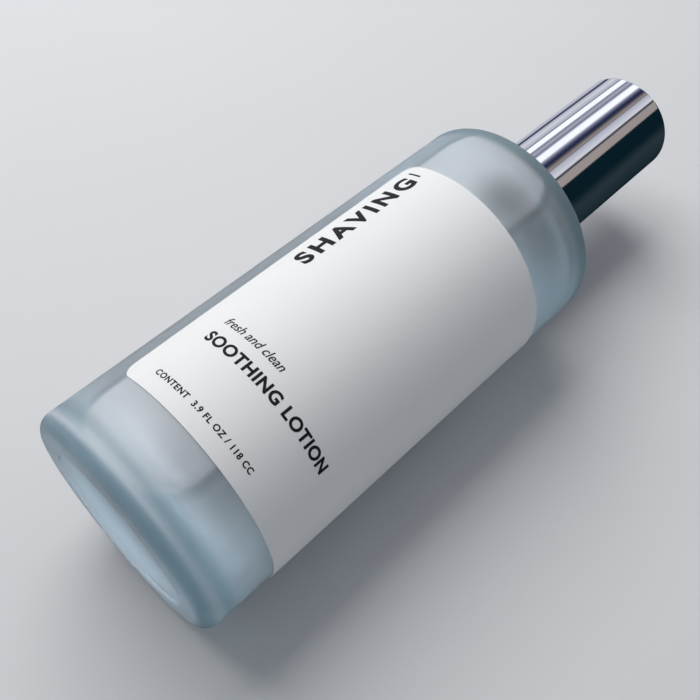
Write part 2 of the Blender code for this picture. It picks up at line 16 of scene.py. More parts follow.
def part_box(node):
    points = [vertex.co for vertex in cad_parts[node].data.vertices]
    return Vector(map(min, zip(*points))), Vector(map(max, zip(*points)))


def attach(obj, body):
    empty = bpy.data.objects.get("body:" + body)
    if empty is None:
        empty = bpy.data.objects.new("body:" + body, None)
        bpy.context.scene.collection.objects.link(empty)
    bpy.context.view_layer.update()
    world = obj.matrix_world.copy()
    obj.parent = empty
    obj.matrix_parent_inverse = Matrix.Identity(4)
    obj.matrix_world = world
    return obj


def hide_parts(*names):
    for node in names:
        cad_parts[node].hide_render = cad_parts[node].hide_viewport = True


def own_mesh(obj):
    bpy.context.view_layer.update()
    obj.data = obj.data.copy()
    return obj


bl_info = {
    "name": "Aftershave bottle",
    "version": (1, 0, 0),
    "blender": (4, 5, 0),
    "location": "View3D > Sidebar > Bottle",
    "description": "Glass, labels, sprayer and overcap of an aftershave bottle",
    "category": "Object",
}

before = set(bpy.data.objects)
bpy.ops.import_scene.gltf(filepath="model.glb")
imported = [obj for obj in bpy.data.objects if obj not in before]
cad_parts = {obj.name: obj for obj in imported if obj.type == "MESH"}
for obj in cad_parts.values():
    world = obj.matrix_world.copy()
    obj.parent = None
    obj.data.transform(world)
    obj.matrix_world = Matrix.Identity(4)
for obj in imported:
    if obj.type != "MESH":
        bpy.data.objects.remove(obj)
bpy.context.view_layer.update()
MM = 0.001

# Sizes that the frame's pieces state
GLASS_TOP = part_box("glass_bottle")[1].z
BODY_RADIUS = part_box("glass_bottle")[1].x
LABEL_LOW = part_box("front_label")[0].z
LABEL_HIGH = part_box("front_label")[1].z
CAP_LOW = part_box("overcap_shell")[0].z
CAP_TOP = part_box("overcap_shell")[1].z
CAP_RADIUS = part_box("overcap_shell")[1].x
COLLAR_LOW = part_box("collar_shell")[0].z
COLLAR_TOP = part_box("collar_shell")[1].z
COLLAR_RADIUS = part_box("collar_shell")[1].x
BUTTON_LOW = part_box("spray_button")[0].z
BUTTON_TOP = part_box("spray_button")[1].z

# Sizes inside the glass
NECK_HEIGHT = 15.0 * MM
BODY_HEIGHT = GLASS_TOP - NECK_HEIGHT
WALL = 3.0 * MM
FLOOR = 6.2 * MM
INNER_RADIUS = BODY_RADIUS - WALL
INNER_TOP = BODY_HEIGHT - 3.6 * MM
INNER_HEEL = 5.0 * MM
INNER_SHOULDER = 4.0 * MM
NECK_RADIUS = 7.8 * MM
NECK_BORE = 5.2 * MM
NECK_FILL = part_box("ball_cage")[0].z + 0.9 * MM
FOOT_RADIUS = 16.6 * MM
PUSH_UP = 1.4 * MM
FOOT_STEP = 0.45 * MM
THREAD_DEPTH = 1.05 * MM
THREAD_PITCH = 3.175 * MM
THREAD_START = GLASS_TOP - 7.0 * MM
THREAD_TURNS = 1.5

# Labels
LABEL_INNER = BODY_RADIUS + 0.1 * MM
LABEL_OUTER = BODY_RADIUS + 0.25 * MM
LABEL_CORNER = 2.8 * MM
FRONT_HALF = math.radians(75.0)
BACK_HALF = math.radians(52.5)

# The direction away from the table that the bottle lies on
UP = Vector((-0.697, -0.717, 0.0)).normalized()
ACROSS = UP.cross(Vector((0.0, 0.0, 1.0)))
STEPS = 192
GLASS_STEPS = 256

# Turns a piece that is made round +Z to face the front, -Y
FACING_FRONT = Matrix.Rotation(math.pi / 2.0, 4, "X")


# ---------------------------------------------------------------- node materials

class Value:
    """A number socket. Arithmetic on it adds Math nodes to its material."""

    def __init__(self, look, socket):
        self.look = look
        self.socket = socket

    def math(self, operation, first, second):
        return self.look.node("ShaderNodeMath", {"operation": operation}, {0: first, 1: second})

    def __add__(self, other):
        return self.math("ADD", self, other)

    def __radd__(self, other):
        return self.math("ADD", other, self)

    def __sub__(self, other):
        return self.math("SUBTRACT", self, other)

    def __rsub__(self, other):
        return self.math("SUBTRACT", other, self)

    def __mul__(self, other):
        return self.math("MULTIPLY", self, other)

    def __rmul__(self, other):
        return self.math("MULTIPLY", other, self)

    def __truediv__(self, other):
        return self.math("DIVIDE", self, other)


class Look:
    """A node material around one Principled shader."""

    def __init__(self, name):
        self.material = bpy.data.materials.new(name)
        self.material.use_nodes = True
        self.tree = self.material.node_tree
        self.shader = self.tree.nodes["Principled BSDF"]

    def node(self, kind, settings=None, sockets=None, output=0):
        """Add a node, set its settings, fill or link its sockets, and return one output."""
        made = self.tree.nodes.new(kind)
        for key, value in (settings or {}).items():
            if key == "stops":
                self.fill_ramp(made.color_ramp, value)
            else:
                setattr(made, key, value)
        for key, value in (sockets or {}).items():
            if isinstance(value, Value):
                self.tree.links.new(value.socket, made.inputs[key])
            else:
                made.inputs[key].default_value = value
        return Value(self, made.outputs[output])

    @staticmethod
    def fill_ramp(ramp, stops):
        """Give a colour ramp its stops, each (place, (r, g, b))."""
        while len(ramp.elements) > 1:
            ramp.elements.remove(ramp.elements[-1])
        ramp.elements[0].position = stops[0][0]
        ramp.elements[0].color = (*stops[0][1], 1.0)
        for place, colour in stops[1:]:
            ramp.elements.new(place).color = (*colour, 1.0)

    def place(self, stretch=(1.0, 1.0, 1.0)):
        """Object coordinates in metres, stretched along each axis."""
        source = self.node("ShaderNodeTexCoord", output="Object")
        return self.node("ShaderNodeMapping", None, {"Vector": source, "Scale": stretch})

    def height(self):
        """Height above the foot in metres."""
        source = self.node("ShaderNodeTexCoord", output="Object")
        return self.node("ShaderNodeSeparateXYZ", None, {0: source}, output="Z")

    def noise(self, size, stretch=(1.0, 1.0, 1.0), detail=3.0, rough=0.5):
        """Noise whose features are about size across."""
        return self.node("ShaderNodeTexNoise", {"noise_dimensions": "3D"},
                         {"Vector": self.place(stretch), "Scale": 1.0 / size, "Detail": detail,
                          "Roughness": rough})

    def pick(self, operation, first, second=0.0):
        """A Math node with no operator of its own, such as the greater of two values."""
        return self.node("ShaderNodeMath", {"operation": operation}, {0: first, 1: second})

    def attribute(self, name):
        return self.node("ShaderNodeAttribute", {"attribute_name": name}, output="Fac")

    def ramp(self, value, stops):
        return self.node("ShaderNodeValToRGB", {"stops": stops}, {0: value})

    def fade(self, value, *stops):
        """A ramp of shares between 0 and 1, each stop (place, share)."""
        return self.ramp(value, [(place, (share, share, share)) for place, share in stops])

    def blend(self, share, first, second):
        """The first colour where share is 0, the second where it is 1."""
        return self.node("ShaderNodeMix", {"data_type": "RGBA"},
                         {0: share, 6: first, 7: second}, output=2)

    def tone(self, share, colour, low, high):
        """One colour, made lighter or darker by low where share is 0 and by high where it is 1."""
        return self.blend(share, rgba(colour, low), rgba(colour, high))

    def bump(self, height, depth):
        """A normal from a height between 0 and 1 that stands for depth in metres."""
        return self.node("ShaderNodeBump", None, {"Height": height, "Distance": depth})

    @property
    def principled(self):
        return Value(self, self.shader.outputs[0])

    def surface(self, shader, socket="Surface"):
        """Link a shader to the material's output and return the material."""
        self.tree.links.new(shader.socket, self.tree.nodes["Material Output"].inputs[socket])
        return self.material

    def set(self, **sockets):
        """Set or link the Principled shader's sockets; underscores stand for spaces."""
        for key, value in sockets.items():
            socket = self.shader.inputs[key.replace("_", " ")]
            if isinstance(value, Value):
                self.tree.links.new(value.socket, socket)
            else:
                socket.default_value = value
        return self


def rgba(colour, scale=1.0):
    """A colour property as four numbers, made lighter or darker by scale."""
    return (colour[0] * scale, colour[1] * scale, colour[2] * scale, 1.0)


def bubble_edge(look):
    """Distances on the wall from the air bubble's outline, less than 0 over it, and from the
    spot of painted shade that stands for the pump's body close behind the wall.

    The outline is a rounded rectangle of half sizes half and reach. Along and across are how
    far a point lies past the box that the corners' centres make, and the distance is the
    length of their positive parts, plus their greater where both are negative, less a corner.
    """
    half, reach, corner = 12.4 * MM, 0.5 * (BODY_HEIGHT - 3.5 * MM), 9.0 * MM
    middle, aside = 2.5 * MM + reach, 1.4 * MM
    source = look.node("ShaderNodeTexCoord", output="Object")
    rise, run = (look.node("ShaderNodeVectorMath", {"operation": "DOT_PRODUCT"},
                           {0: source, 1: tuple(axis)}, output="Value")
                 for axis in (UP, -ACROSS))
    arc = look.pick("ARCTAN2", run, rise) * BODY_RADIUS - aside
    across = look.pick("ABSOLUTE", arc) - (half - corner)
    along = look.pick("ABSOLUTE", look.height() - middle) - (reach - corner)
    ahead, over = look.pick("MAXIMUM", across), look.pick("MAXIMUM", along)
    length = look.pick("SQRT", ahead * ahead + over * over)
    edge = length + look.pick("MINIMUM", look.pick("MAXIMUM", across, along)) - corner
    # Centre of the soft painted shade that stands for the pump's body behind the wall.
    pump_arc, pump_height = arc - 7.2 * MM, look.height() - 91.0 * MM
    return edge, look.pick("SQRT", pump_arc * pump_arc + pump_height * pump_height)


def etched_glass(glass):
    """Glass that is etched matt where the attribute etched is 1, and clear inside.

    The etched surface is deeper in colour where the glass is solid, at the foot's round and
    the shoulder: partly the thick glass's own colour, partly painted shade. A painted
    highlight makes it paler in a line above the foot. Over the air bubble it is painted pale,
    a painted reflection of the light that the bubble's wall sends back. Where the liquid backs
    the wall it is painted darker, with a painted shade in a dark edge where the liquid climbs
    its wall and a soft spot of painted shade where the pump's body stands behind the wall.
    """
    look = Look("etched_glass")
    etched = look.attribute("etched")
    cloud = look.noise(14.0 * MM, detail=2.0)
    grain = look.noise(0.16 * MM, detail=2.0, rough=0.7)
    wave = look.noise(9.0 * MM, (1.0, 1.0, 0.35), detail=1.0)
    height = look.height() / GLASS_TOP
    mm = MM / GLASS_TOP
    inner_top, shoulder = INNER_TOP / GLASS_TOP, BODY_HEIGHT / GLASS_TOP
    # Partly painted shade: a deeper colour over solid glass at the foot and the shoulder, which
    # stands both for the thick glass's own colour and for shade.
    solid_glass = look.fade(
        height, (3.8 * mm, 0.0), (4.8 * mm, 0.55), (5.8 * mm, 0.5), (7.4 * mm, 0.0),
        (inner_top - 1.2 * mm, 0.0), (inner_top + 0.5 * mm, 1.0),
        (shoulder + 0.5 * mm, 1.0), (shoulder + 2.0 * mm, 0.4))
    edge, from_pump = bubble_edge(look)
    edge_span, pump_shade_span = 12.0 * MM, 8.0 * MM
    edge = edge / edge_span + 0.5
    # Painted shade: a soft dark spot where the pump's body stands behind the wall.
    painted_pump_shade = look.fade(from_pump / pump_shade_span, (0.0, 1.0), (0.35, 0.75), (1.0, 0.0))
    # Painted shade where the liquid backs the wall; the wall over the air bubble stays paler.
    filled = look.fade(edge, (0.42, 0.0), (0.54, 1.0))
    # Painted shade: a dark line along the air bubble's edge, where the liquid climbs its wall.
    line = look.fade(edge, (0.42, 0.0), (0.49, 1.0), (0.53, 0.8), (0.67, 0.0))
    line_fade = look.fade(height, (5.0 * mm, 0.0), (9.0 * mm, 1.0))
    # The foot's round takes the same partly painted shade.
    solid_glass = look.pick("MAXIMUM", solid_glass, look.attribute("foot"))
    # Painted highlight: a pale line above the foot.
    painted_highlight_line = look.fade(
        height, (2.1 * mm, 0.0), (2.6 * mm, 1.0), (3.0 * mm, 1.0), (3.8 * mm, 0.0))
    thin = look.tone(cloud, glass.tint, 0.97, 1.03)
    backed = look.blend(filled, thin, rgba(glass.filled_shade_tint))
    # Painted shade: the edge line and the pump's spot, darkened towards the brim colour.
    dark = look.pick("MAXIMUM", line * line_fade, painted_pump_shade)
    backed = look.blend(dark * glass.edge_shade, backed, rgba(glass.brim_shade))
    # Where the painted reflection goes: over the air bubble, not over liquid, solid glass or the
    # pump's spot.
    over_air = (1.0 - filled) * (1.0 - solid_glass) * (1.0 - 0.8 * painted_pump_shade)
    look.set(
        Base_Color=look.blend(solid_glass, backed, rgba(glass.solid_tint_and_shade)),
        Roughness=glass.etch - 0.04 + 0.08 * cloud,
        IOR=1.5,
        Transmission_Weight=glass.clarity,
        Normal=look.bump(grain, 0.007 * MM),
    )
    clear = look.node("ShaderNodeBsdfPrincipled", None, {
        "Base Color": rgba(glass.inner_tint), "Roughness": glass.clear_roughness, "IOR": 1.5,
        "Transmission Weight": 1.0, "Normal": look.bump(wave, 0.35 * MM)})
    # Painted reflection: a pale, matt shader over the air bubble and the pale line stands for
    # light that the bubble's wall sends back.
    painted_pale = look.node("ShaderNodeBsdfPrincipled", None, {
        "Base Color": rgba(glass.painted_pale_tint), "Roughness": 0.6, "IOR": 1.5})
    outside = look.node("ShaderNodeMixShader", None, {
        0: look.pick("MAXIMUM", over_air, painted_highlight_line) * glass.painted_pale_share,
        1: look.principled, 2: painted_pale})
    mixed = look.node("ShaderNodeMixShader", None, {0: etched, 1: clear, 2: outside})
    depth = look.node("ShaderNodeVolumeAbsorption", None, {
        "Color": rgba(glass.depth_tint), "Density": glass.density})
    look.surface(depth, "Volume")
    return look.surface(mixed)


def clear_liquid(glass):
    """A thin clear liquid with a trace of colour, with painted shade where it curves up to the
    glass.
    """
    look = Look("aftershave")
    haze = look.noise(20.0 * MM, detail=1.0)
    clear = look.tone(haze, glass.liquid_tint, 0.98, 1.0)
    # Painted shade: the dark brim colour where the liquid curves up to the glass.
    look.set(
        Base_Color=look.blend(look.attribute("brim"), clear, rgba(glass.brim_shade)),
        Roughness=0.01,
        IOR=1.36,
        Transmission_Weight=1.0,
    )
    return look.material


def label_film(label):
    """Matt coated film: a faint mottle, fine tooth, and a few light rubs."""
    look = Look("label_film")
    mottle = look.noise(7.0 * MM, detail=4.0)
    tooth = look.noise(0.10 * MM, detail=3.0, rough=0.7)
    rub = look.noise(2.2 * MM, (1.0, 1.0, 0.12), detail=5.0, rough=0.6)
    rubbed = look.fade(rub, (0.66, 0.0), (0.72, 1.0))
    plain = look.tone(mottle, label.film, 0.985, 1.01)
    look.set(
        Base_Color=look.blend(rubbed * 0.06, plain, rgba(label.film, 0.7)),
        Roughness=0.50 + 0.10 * mottle - 0.08 * rubbed,
        Normal=look.bump(tooth + 0.2 * rubbed, 0.006 * MM),
        Specular_IOR_Level=0.45,
    )
    through = look.node("ShaderNodeBsdfTranslucent", None, {"Color": rgba(label.film)})
    return look.surface(look.node("ShaderNodeMixShader", None, {
        0: label.show_through, 1: look.principled, 2: through}))


def printed_ink(name, colour):
    """Ink with the film's tooth showing through."""
    look = Look(name)
    tooth = look.noise(0.12 * MM, detail=3.0, rough=0.7)
    look.set(
        Base_Color=look.tone(tooth, colour, 0.8, 1.25),
        Roughness=0.5 + 0.12 * tooth,
        Specular_IOR_Level=0.25,
        Normal=look.bump(tooth, 0.004 * MM),
    )
    return look.material


def bright_metal(metal):
    """Mirror-bright anodised metal with hairlines along the draw and faint handling haze."""
    look = Look("bright_metal")
    hairline = look.noise(0.25 * MM, (1.0, 1.0, 0.02), detail=3.0, rough=0.6)
    haze = look.noise(6.0 * MM, (1.0, 1.0, 0.5), detail=4.0, rough=0.6)
    hazy = look.fade(haze, (0.45, 0.0), (0.75, 1.0))
    look.set(
        Base_Color=look.tone(hazy, metal.bright, 1.0, 0.96),
        Metallic=1.0,
        Roughness=metal.bright_roughness + 0.03 * hazy + 0.015 * hairline,
        Normal=look.bump(hairline, 0.0006 * MM),
    )
    return look.material


def satin_metal(metal):
    """Satin anodised aluminium with fine lines turned round it."""
    look = Look("satin_aluminium")
    lines = look.noise(0.12 * MM, (0.03, 0.03, 1.0), detail=3.0, rough=0.6)
    cloud = look.noise(5.0 * MM, detail=3.0)
    look.set(
        Base_Color=look.tone(cloud, metal.satin, 0.95, 1.03),
        Metallic=1.0,
        Roughness=metal.satin_roughness - 0.04 + 0.08 * lines,
        Normal=look.bump(lines, 0.003 * MM),
    )
    return look.material


def spring_steel(metal):
    """Drawn stainless steel."""
    look = Look("spring_steel")
    drawn = look.noise(0.2 * MM, detail=3.0, rough=0.6)
    look.set(
        Base_Color=look.tone(drawn, metal.steel, 0.85, 1.1),
        Metallic=1.0,
        Roughness=0.16 + 0.12 * drawn,
        Normal=look.bump(drawn, 0.002 * MM),
    )
    return look.material


def moulded_plastic(name, colour, roughness, clarity=0.0):
    """Moulded plastic with a fine spark-eroded grain and a slight sink mottle."""
    look = Look(name)
    grain = look.noise(0.07 * MM, detail=2.0, rough=0.6)
    mottle = look.noise(3.0 * MM, detail=3.0)
    look.set(
        Base_Color=look.tone(mottle, colour, 0.97, 1.01),
        Roughness=roughness - 0.04 + 0.08 * mottle,
        Normal=look.bump(grain, 0.003 * MM),
        Transmission_Weight=clarity,
        IOR=1.49,
    )
    return look.material


def soft_foam(plastic):
    """The gasket's closed-cell foam."""
    look = Look("gasket_foam")
    cells = look.noise(0.15 * MM, detail=4.0, rough=0.8)
    look.set(
        Base_Color=look.tone(cells, plastic.foam, 0.8, 1.05),
        Roughness=0.8,
        Normal=look.bump(cells, 0.02 * MM),
    )
    return look.material


# ---------------------------------------------------------------- surfaces

def unit(vector):
    return vector / np.linalg.norm(vector)


def rounded(corners, steps=8):
    """An outline through (r, z, round) corners.

    Each round is the arc that touches both edges at its corner: its centre lies on the line
    that halves the corner, and its points turn evenly from one touching point to the other.
    """
    parts = []
    share = np.linspace(0.0, 1.0, steps + 1)[:, None]
    for index, (r, z, size) in enumerate(corners):
        here = np.array((r, z))
        if size == 0.0:
            parts.append(here[None])
            continue
        before = unit(np.array(corners[index - 1][:2]) - here)
        after = unit(np.array(corners[(index + 1) % len(corners)][:2]) - here)
        half = 0.5 * math.acos(float(np.clip(before @ after, -1.0, 1.0)))
        centre = here + unit(before + after) * size / math.sin(half)
        first = here + before * size / math.tan(half) - centre
        last = here + after * size / math.tan(half) - centre
        turn = math.pi - 2.0 * half
        arc = np.sin((1.0 - share) * turn) * first + np.sin(share * turn) * last
        parts.append(centre + arc / math.sin(turn))
    return np.concatenate(parts)


def whole_turn(steps):
    """Evenly spaced angles round one turn."""
    return np.linspace(0.0, 2.0 * math.pi, steps, endpoint=False)


def around(outline, steps=STEPS, relief=None):
    """Turn an (r, z) outline about Z.

    A point at station u and angle a is (r cos a, r sin a, z); relief may change r as a
    function of r, a and z over the whole grid.
    """
    angle = whole_turn(steps)[None, :]
    radius = np.repeat(outline[:, :1], steps, axis=1)
    height = np.repeat(outline[:, 1:], steps, axis=1)
    if relief is not None:
        radius = relief(radius, angle, height)
    return np.stack((radius * np.cos(angle), radius * np.sin(angle), height), axis=-1)


def sweep(path, section, up=(0.0, 0.0, 1.0), size=None):
    """Carry a closed (across, up) section along a path.

    The point for station u and section point v is path(u) + across(v) side(u) + up(v) top(u),
    where side is square to the path's direction and up, and size scales the section.
    """
    ahead = np.gradient(path, axis=0)
    ahead /= np.linalg.norm(ahead, axis=1, keepdims=True)
    side = np.cross(ahead, np.array(up))
    side /= np.linalg.norm(side, axis=1, keepdims=True)
    top = np.cross(side, ahead)
    scale = np.ones(len(path)) if size is None else size
    across = scale[:, None, None] * section[None, :, :1]
    rise = scale[:, None, None] * section[None, :, 1:]
    return path[:, None, :] + across * side[:, None, :] + rise * top[:, None, :]


def faces_of(grid, loop):
    """Corner indices of a grid's faces: rings close on themselves, and so do ends that loop.

    An end ring that shrinks to a point becomes a pole of triangles, and one that doesn't is
    closed by one flat face.
    """
    rows, columns = grid.shape[:2]
    index = np.arange(rows * columns).reshape(rows, columns)
    caps = []
    if not loop:
        for row in (0, rows - 1):
            if np.ptp(grid[row], axis=0).max() < 1e-9:
                index[row] = index[row, 0]
            else:
                caps.append(index[row] if row else index[row][::-1])
    below = index if loop else index[:-1]
    above = np.roll(index, -1, axis=0) if loop else index[1:]
    quads = np.stack((below, np.roll(below, -1, axis=1), np.roll(above, -1, axis=1), above), -1)
    quads = quads.reshape(-1, 4)
    flat_low = quads[:, 0] == quads[:, 1]
    flat_high = quads[:, 2] == quads[:, 3]
    whole = quads[~(flat_low | flat_high)]
    threes = np.concatenate((quads[flat_low][:, 1:], quads[flat_high][:, :3]))
    return whole, threes, caps


def solid(name, grids, values=None):
    """One closed mesh from one or more grids, each (grid, loop), with faces pointing outwards.

    A grid's own volume, the sum over its faces of corner . (corner x corner) / 6, is made
    positive by turning its faces round. values gives point attributes, one array per grid.
    """
    points, blocks, count = [], [], 0
    for grid, loop in grids:
        flat = grid.reshape(-1, 3)
        whole, threes, caps = faces_of(grid, loop)
        tri = np.concatenate((whole[:, :3], whole[:, [0, 2, 3]], threes))
        for cap in caps:
            fan = np.stack((np.full(len(cap) - 2, cap[0]), cap[1:-1], cap[2:]), -1)
            tri = np.concatenate((tri, fan))
        a, b, c = (flat[tri[:, k]] for k in range(3))
        turn = -1 if np.einsum("ij,ij->", a, np.cross(b, c)) < 0.0 else 1
        blocks += [block[:, ::turn] + count for block in (whole, threes, *(c[None] for c in caps))]
        points.append(flat)
        count += len(flat)
    points = np.concatenate(points)
    used = np.unique(np.concatenate([block.ravel() for block in blocks]))
    renumber = np.full(len(points), -1)
    renumber[used] = np.arange(len(used))
    faces = sum((renumber[block].tolist() for block in blocks), [])
    mesh = bpy.data.meshes.new(name)
    mesh.from_pydata(points[used].tolist(), [], faces)
    for key, arrays in (values or {}).items():
        data = np.concatenate([array.reshape(-1) for array in arrays])[used]
        mesh.attributes.new(key, "FLOAT", "POINT").data.foreach_set("value", data)
    shade(mesh)
    return mesh


def points_of(mesh):
    """A mesh's vertices as rows of x, y, z."""
    points = np.zeros(len(mesh.vertices) * 3)
    mesh.vertices.foreach_get("co", points)
    return points.reshape(-1, 3)


def shade(mesh, angle=32.0):
    """Shade smooth except across sharp edges."""
    mesh.shade_smooth()
    mesh.set_sharp_from_angle(angle=math.radians(angle))


def put(name, mesh, look, body, slot, *nodes):
    """Make a mesh a piece that rides on a body and stands for CAD nodes. The slot is not used."""
    mesh.materials.clear()
    mesh.materials.append(look)
    piece = bpy.data.objects.new(name, mesh)
    bpy.context.scene.collection.objects.link(piece)
    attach(piece, body)
    if nodes:
        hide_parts(*nodes)
    return piece


def repaint(node, look):
    """Give a CAD node that stays in view its material."""
    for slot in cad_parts[node].material_slots:
        slot.material = look


def bored(mesh, radius, near, far, height):
    """Cut a round hole towards -Y from y = -near to y = -far at a height."""
    outline = np.array(((0.0, near), (radius, near), (radius, far), (0.0, far)))
    cutter = bpy.data.objects.new("hole", solid("hole", [(around(outline, 64), False)]))
    cutter.data.transform(Matrix.Translation((0.0, 0.0, height)) @ FACING_FRONT)
    block = bpy.data.objects.new("block", mesh)
    for item in (cutter, block):
        bpy.context.scene.collection.objects.link(item)
    cut = block.modifiers.new("hole", "BOOLEAN")
    cut.operation = "DIFFERENCE"
    cut.object = cutter
    bpy.context.view_layer.update()
    graph = bpy.context.evaluated_depsgraph_get()
    result = bpy.data.meshes.new_from_object(block.evaluated_get(graph))
    for item in (cutter, block):
        bpy.data.objects.remove(item)
    shade(result)
    return result


# ---------------------------------------------------------------- settings

def colour_property(name, default, description):
    return FloatVectorProperty(name=name, description=description, subtype="COLOR", size=3,
                               min=0.0, max=1.0, default=default)


def share_property(name, default, description):
    return FloatProperty(name=name, description=description, subtype="FACTOR",
                         min=0.0, max=1.0, default=default)


class GlassSettings(bpy.types.PropertyGroup):
    """The glass and what it holds."""
    tint: colour_property("Glass", (0.89, 0.91, 0.94), "Colour of the etched surface")
    # Partly the thick glass's own colour, partly painted shade.
    solid_tint_and_shade: colour_property("Solid glass", (0.40, 0.53, 0.59),
                                "Colour of the etched surface over solid glass")
    # Painted shade where the liquid backs the wall.
    filled_shade_tint: colour_property("Filled glass", (0.76, 0.815, 0.87),
                                 "Colour of the etched surface where liquid backs the wall")
    # Painted reflection over the air bubble and painted highlight in the line above the foot.
    painted_pale_tint: colour_property("Frost", (0.70, 0.73, 0.79), "Colour of the frost over air")
    painted_pale_share: share_property("Frost over air", 0.27, "How much paler the air bubble looks")
    # Painted shade at the air bubble's edge.
    edge_shade: share_property("Bubble edge", 0.42, "How dark the air bubble's edge is")
    inner_tint: colour_property("Inner wall", (0.97, 0.985, 0.99), "Colour of the inner wall")
    depth_tint: colour_property("Depth tint", (0.34, 0.58, 0.63), "Colour of thick glass")
    density: FloatProperty(name="Depth", description="How fast thick glass darkens, per metre",
                           default=36.0, min=0.0)
    clarity: share_property("Clarity", 0.79, "Share of light that passes into the glass")
    etch: share_property("Etch", 0.60, "Roughness of the etched outside")
    clear_roughness: share_property("Inner roughness", 0.03, "Roughness of the inner wall")
    liquid_tint: colour_property("Liquid", (0.93, 0.97, 0.98), "Colour of the liquid")
    # Painted shade at the liquid's brim and at the air bubble's edge in the glass.
    brim_shade: colour_property("Brim", (0.10, 0.20, 0.24), "Colour at the liquid's brim")
    air_angle: FloatProperty(name="Air bubble", description="Half angle of the air bubble",
                             subtype="ANGLE", default=math.radians(36.0))
    meniscus: FloatProperty(name="Meniscus", description="How far the liquid climbs its wall",
                            unit="LENGTH", default=1.2 * MM)


class LabelSettings(bpy.types.PropertyGroup):
    """The labels and their print."""
    film: colour_property("Film", (0.90, 0.90, 0.905), "Colour of the label film")
    ink: colour_property("Ink", (0.010, 0.011, 0.014), "Colour of the print")
    fine_ink: colour_property("Fine print", (0.05, 0.055, 0.06), "Colour of the back's print")
    show_through: share_property("Translucency", 0.26, "Share of light that passes the film")
    print_height: FloatProperty(name="Print height", description="How proud the print stands",
                                unit="LENGTH", default=0.02 * MM)


class MetalSettings(bpy.types.PropertyGroup):
    """The metals of the closure."""
    bright: colour_property("Overcap", (0.90, 0.905, 0.93), "Colour of the bright overcap")
    bright_roughness: share_property("Overcap roughness", 0.035, "Roughness of the overcap")
    satin: colour_property("Collar", (0.80, 0.81, 0.83), "Colour of the satin parts")
    satin_roughness: share_property("Collar roughness", 0.26, "Roughness of the satin parts")
    steel: colour_property("Steel", (0.66, 0.67, 0.69), "Colour of the spring and ball")


class PlasticSettings(bpy.types.PropertyGroup):
    """The plastics of the sprayer."""
    white: colour_property("White", (0.80, 0.80, 0.79), "Colour of the button, nut and liner")
    natural: colour_property("Natural", (0.86, 0.88, 0.88), "Colour of the pump's plastic")
    foam: colour_property("Foam", (0.76, 0.77, 0.78), "Colour of the gasket")


class StageSettings(bpy.types.PropertyGroup):
    """The table and the light."""
    floor: colour_property("Table", (0.58, 0.585, 0.60), "Colour of the table")
    sky: colour_property("Room", (0.82, 0.865, 0.93), "Colour of the room's soft light")
    sky_strength: FloatProperty(name="Room light", description="Strength of the room's light",
                                default=0.42, min=0.0)
    panel_strength: FloatProperty(name="Panel light", description="Strength of the panel below",
                                  default=1.5, min=0.0)
    key_power: FloatProperty(name="Key light", description="Power of the large softbox",
                             unit="POWER", default=5.0, min=0.0)
    lens: FloatProperty(name="Lens", description="Focal length in millimetres", default=44.39)


# ---------------------------------------------------------------- operators

def glass_outline():
    """The bottle's wall from the middle of its floor, up the inside and down the outside.

    Also gives the first row of the etched outside and the rows of the foot's round: the
    outline has one row for its start and then steps + 1 rows for each round.
    """
    steps = 14
    corners = [
        (0.0, FLOOR, 0.0),
        (INNER_RADIUS, FLOOR, INNER_HEEL),
        (INNER_RADIUS, INNER_TOP, INNER_SHOULDER),
        (NECK_BORE, INNER_TOP, 1.5 * MM),
        (NECK_BORE, GLASS_TOP, 0.4 * MM),
        (NECK_RADIUS, GLASS_TOP, 0.5 * MM),
        (NECK_RADIUS, BODY_HEIGHT, 1.2 * MM),
        (BODY_RADIUS, BODY_HEIGHT, 2.0 * MM),
        (BODY_RADIUS, 0.0, 3.0 * MM),
        (FOOT_RADIUS, 0.0, 0.0),
    ]
    share = np.linspace(1.0, 0.0, 14)
    rise = FOOT_STEP + (PUSH_UP - FOOT_STEP) * (1.0 - share ** 2)
    dome = np.stack(((FOOT_RADIUS - FOOT_STEP) * share, rise), axis=-1)
    outline = np.concatenate((rounded(corners, steps), dome))
    etched_from, foot_from, foot_to = (1 + rounds * (steps + 1) for rounds in (5, 7, 8))
    return outline, etched_from, slice(foot_from, foot_to)


def thread_ridge():
    """The neck's thread: a trapezoid carried up a helix, shrinking away at both ends.

    At angle a the path is (r cos a, r sin a, z + pitch a / 2 pi).
    """
    angle = np.linspace(0.0, 2.0 * math.pi * THREAD_TURNS, 150)
    path = np.stack((NECK_RADIUS * np.cos(angle), NECK_RADIUS * np.sin(angle),
                     THREAD_START + THREAD_PITCH * angle / (2.0 * math.pi)), axis=-1)
    run_out = np.clip(np.minimum(angle, angle[-1] - angle) / 0.5, 0.02, 1.0)
    root, foot, crest = -0.3 * MM, 0.85 * MM, 0.35 * MM
    section = np.array(((root, -foot), (THREAD_DEPTH, -crest), (THREAD_DEPTH, crest),
                        (root, foot)))
    return sweep(path, section, size=np.sin(run_out * math.pi / 2.0))


class BOTTLE_OT_glass(bpy.types.Operator):
    """Make the etched glass bottle"""
    bl_idname = "bottle.glass"
    bl_label = "Glass bottle"

    def execute(self, context):
        scene = context.scene
        outline, etched_from, foot_round = glass_outline()
        body = around(outline, GLASS_STEPS)
        etched = np.zeros(body.shape[:2])
        etched[etched_from:] = 1.0
        # foot marks the foot's round for the glass's partly painted shade.
        foot = np.zeros(body.shape[:2])
        rows = foot_round.stop - foot_round.start
        foot[foot_round] = np.sin(np.linspace(0.0, math.pi, rows))[:, None]
        thread = thread_ridge()
        mesh = solid("glass", [(body, False), (thread, False)],
                     {"etched": [etched, np.ones(thread.shape[:2])],
                      "foot": [foot, np.zeros(thread.shape[:2])]})
        put("bottle_glass", mesh, etched_glass(scene.bottle_glass), "bottle", "etched_glass",
            "glass_bottle")
        return {"FINISHED"}


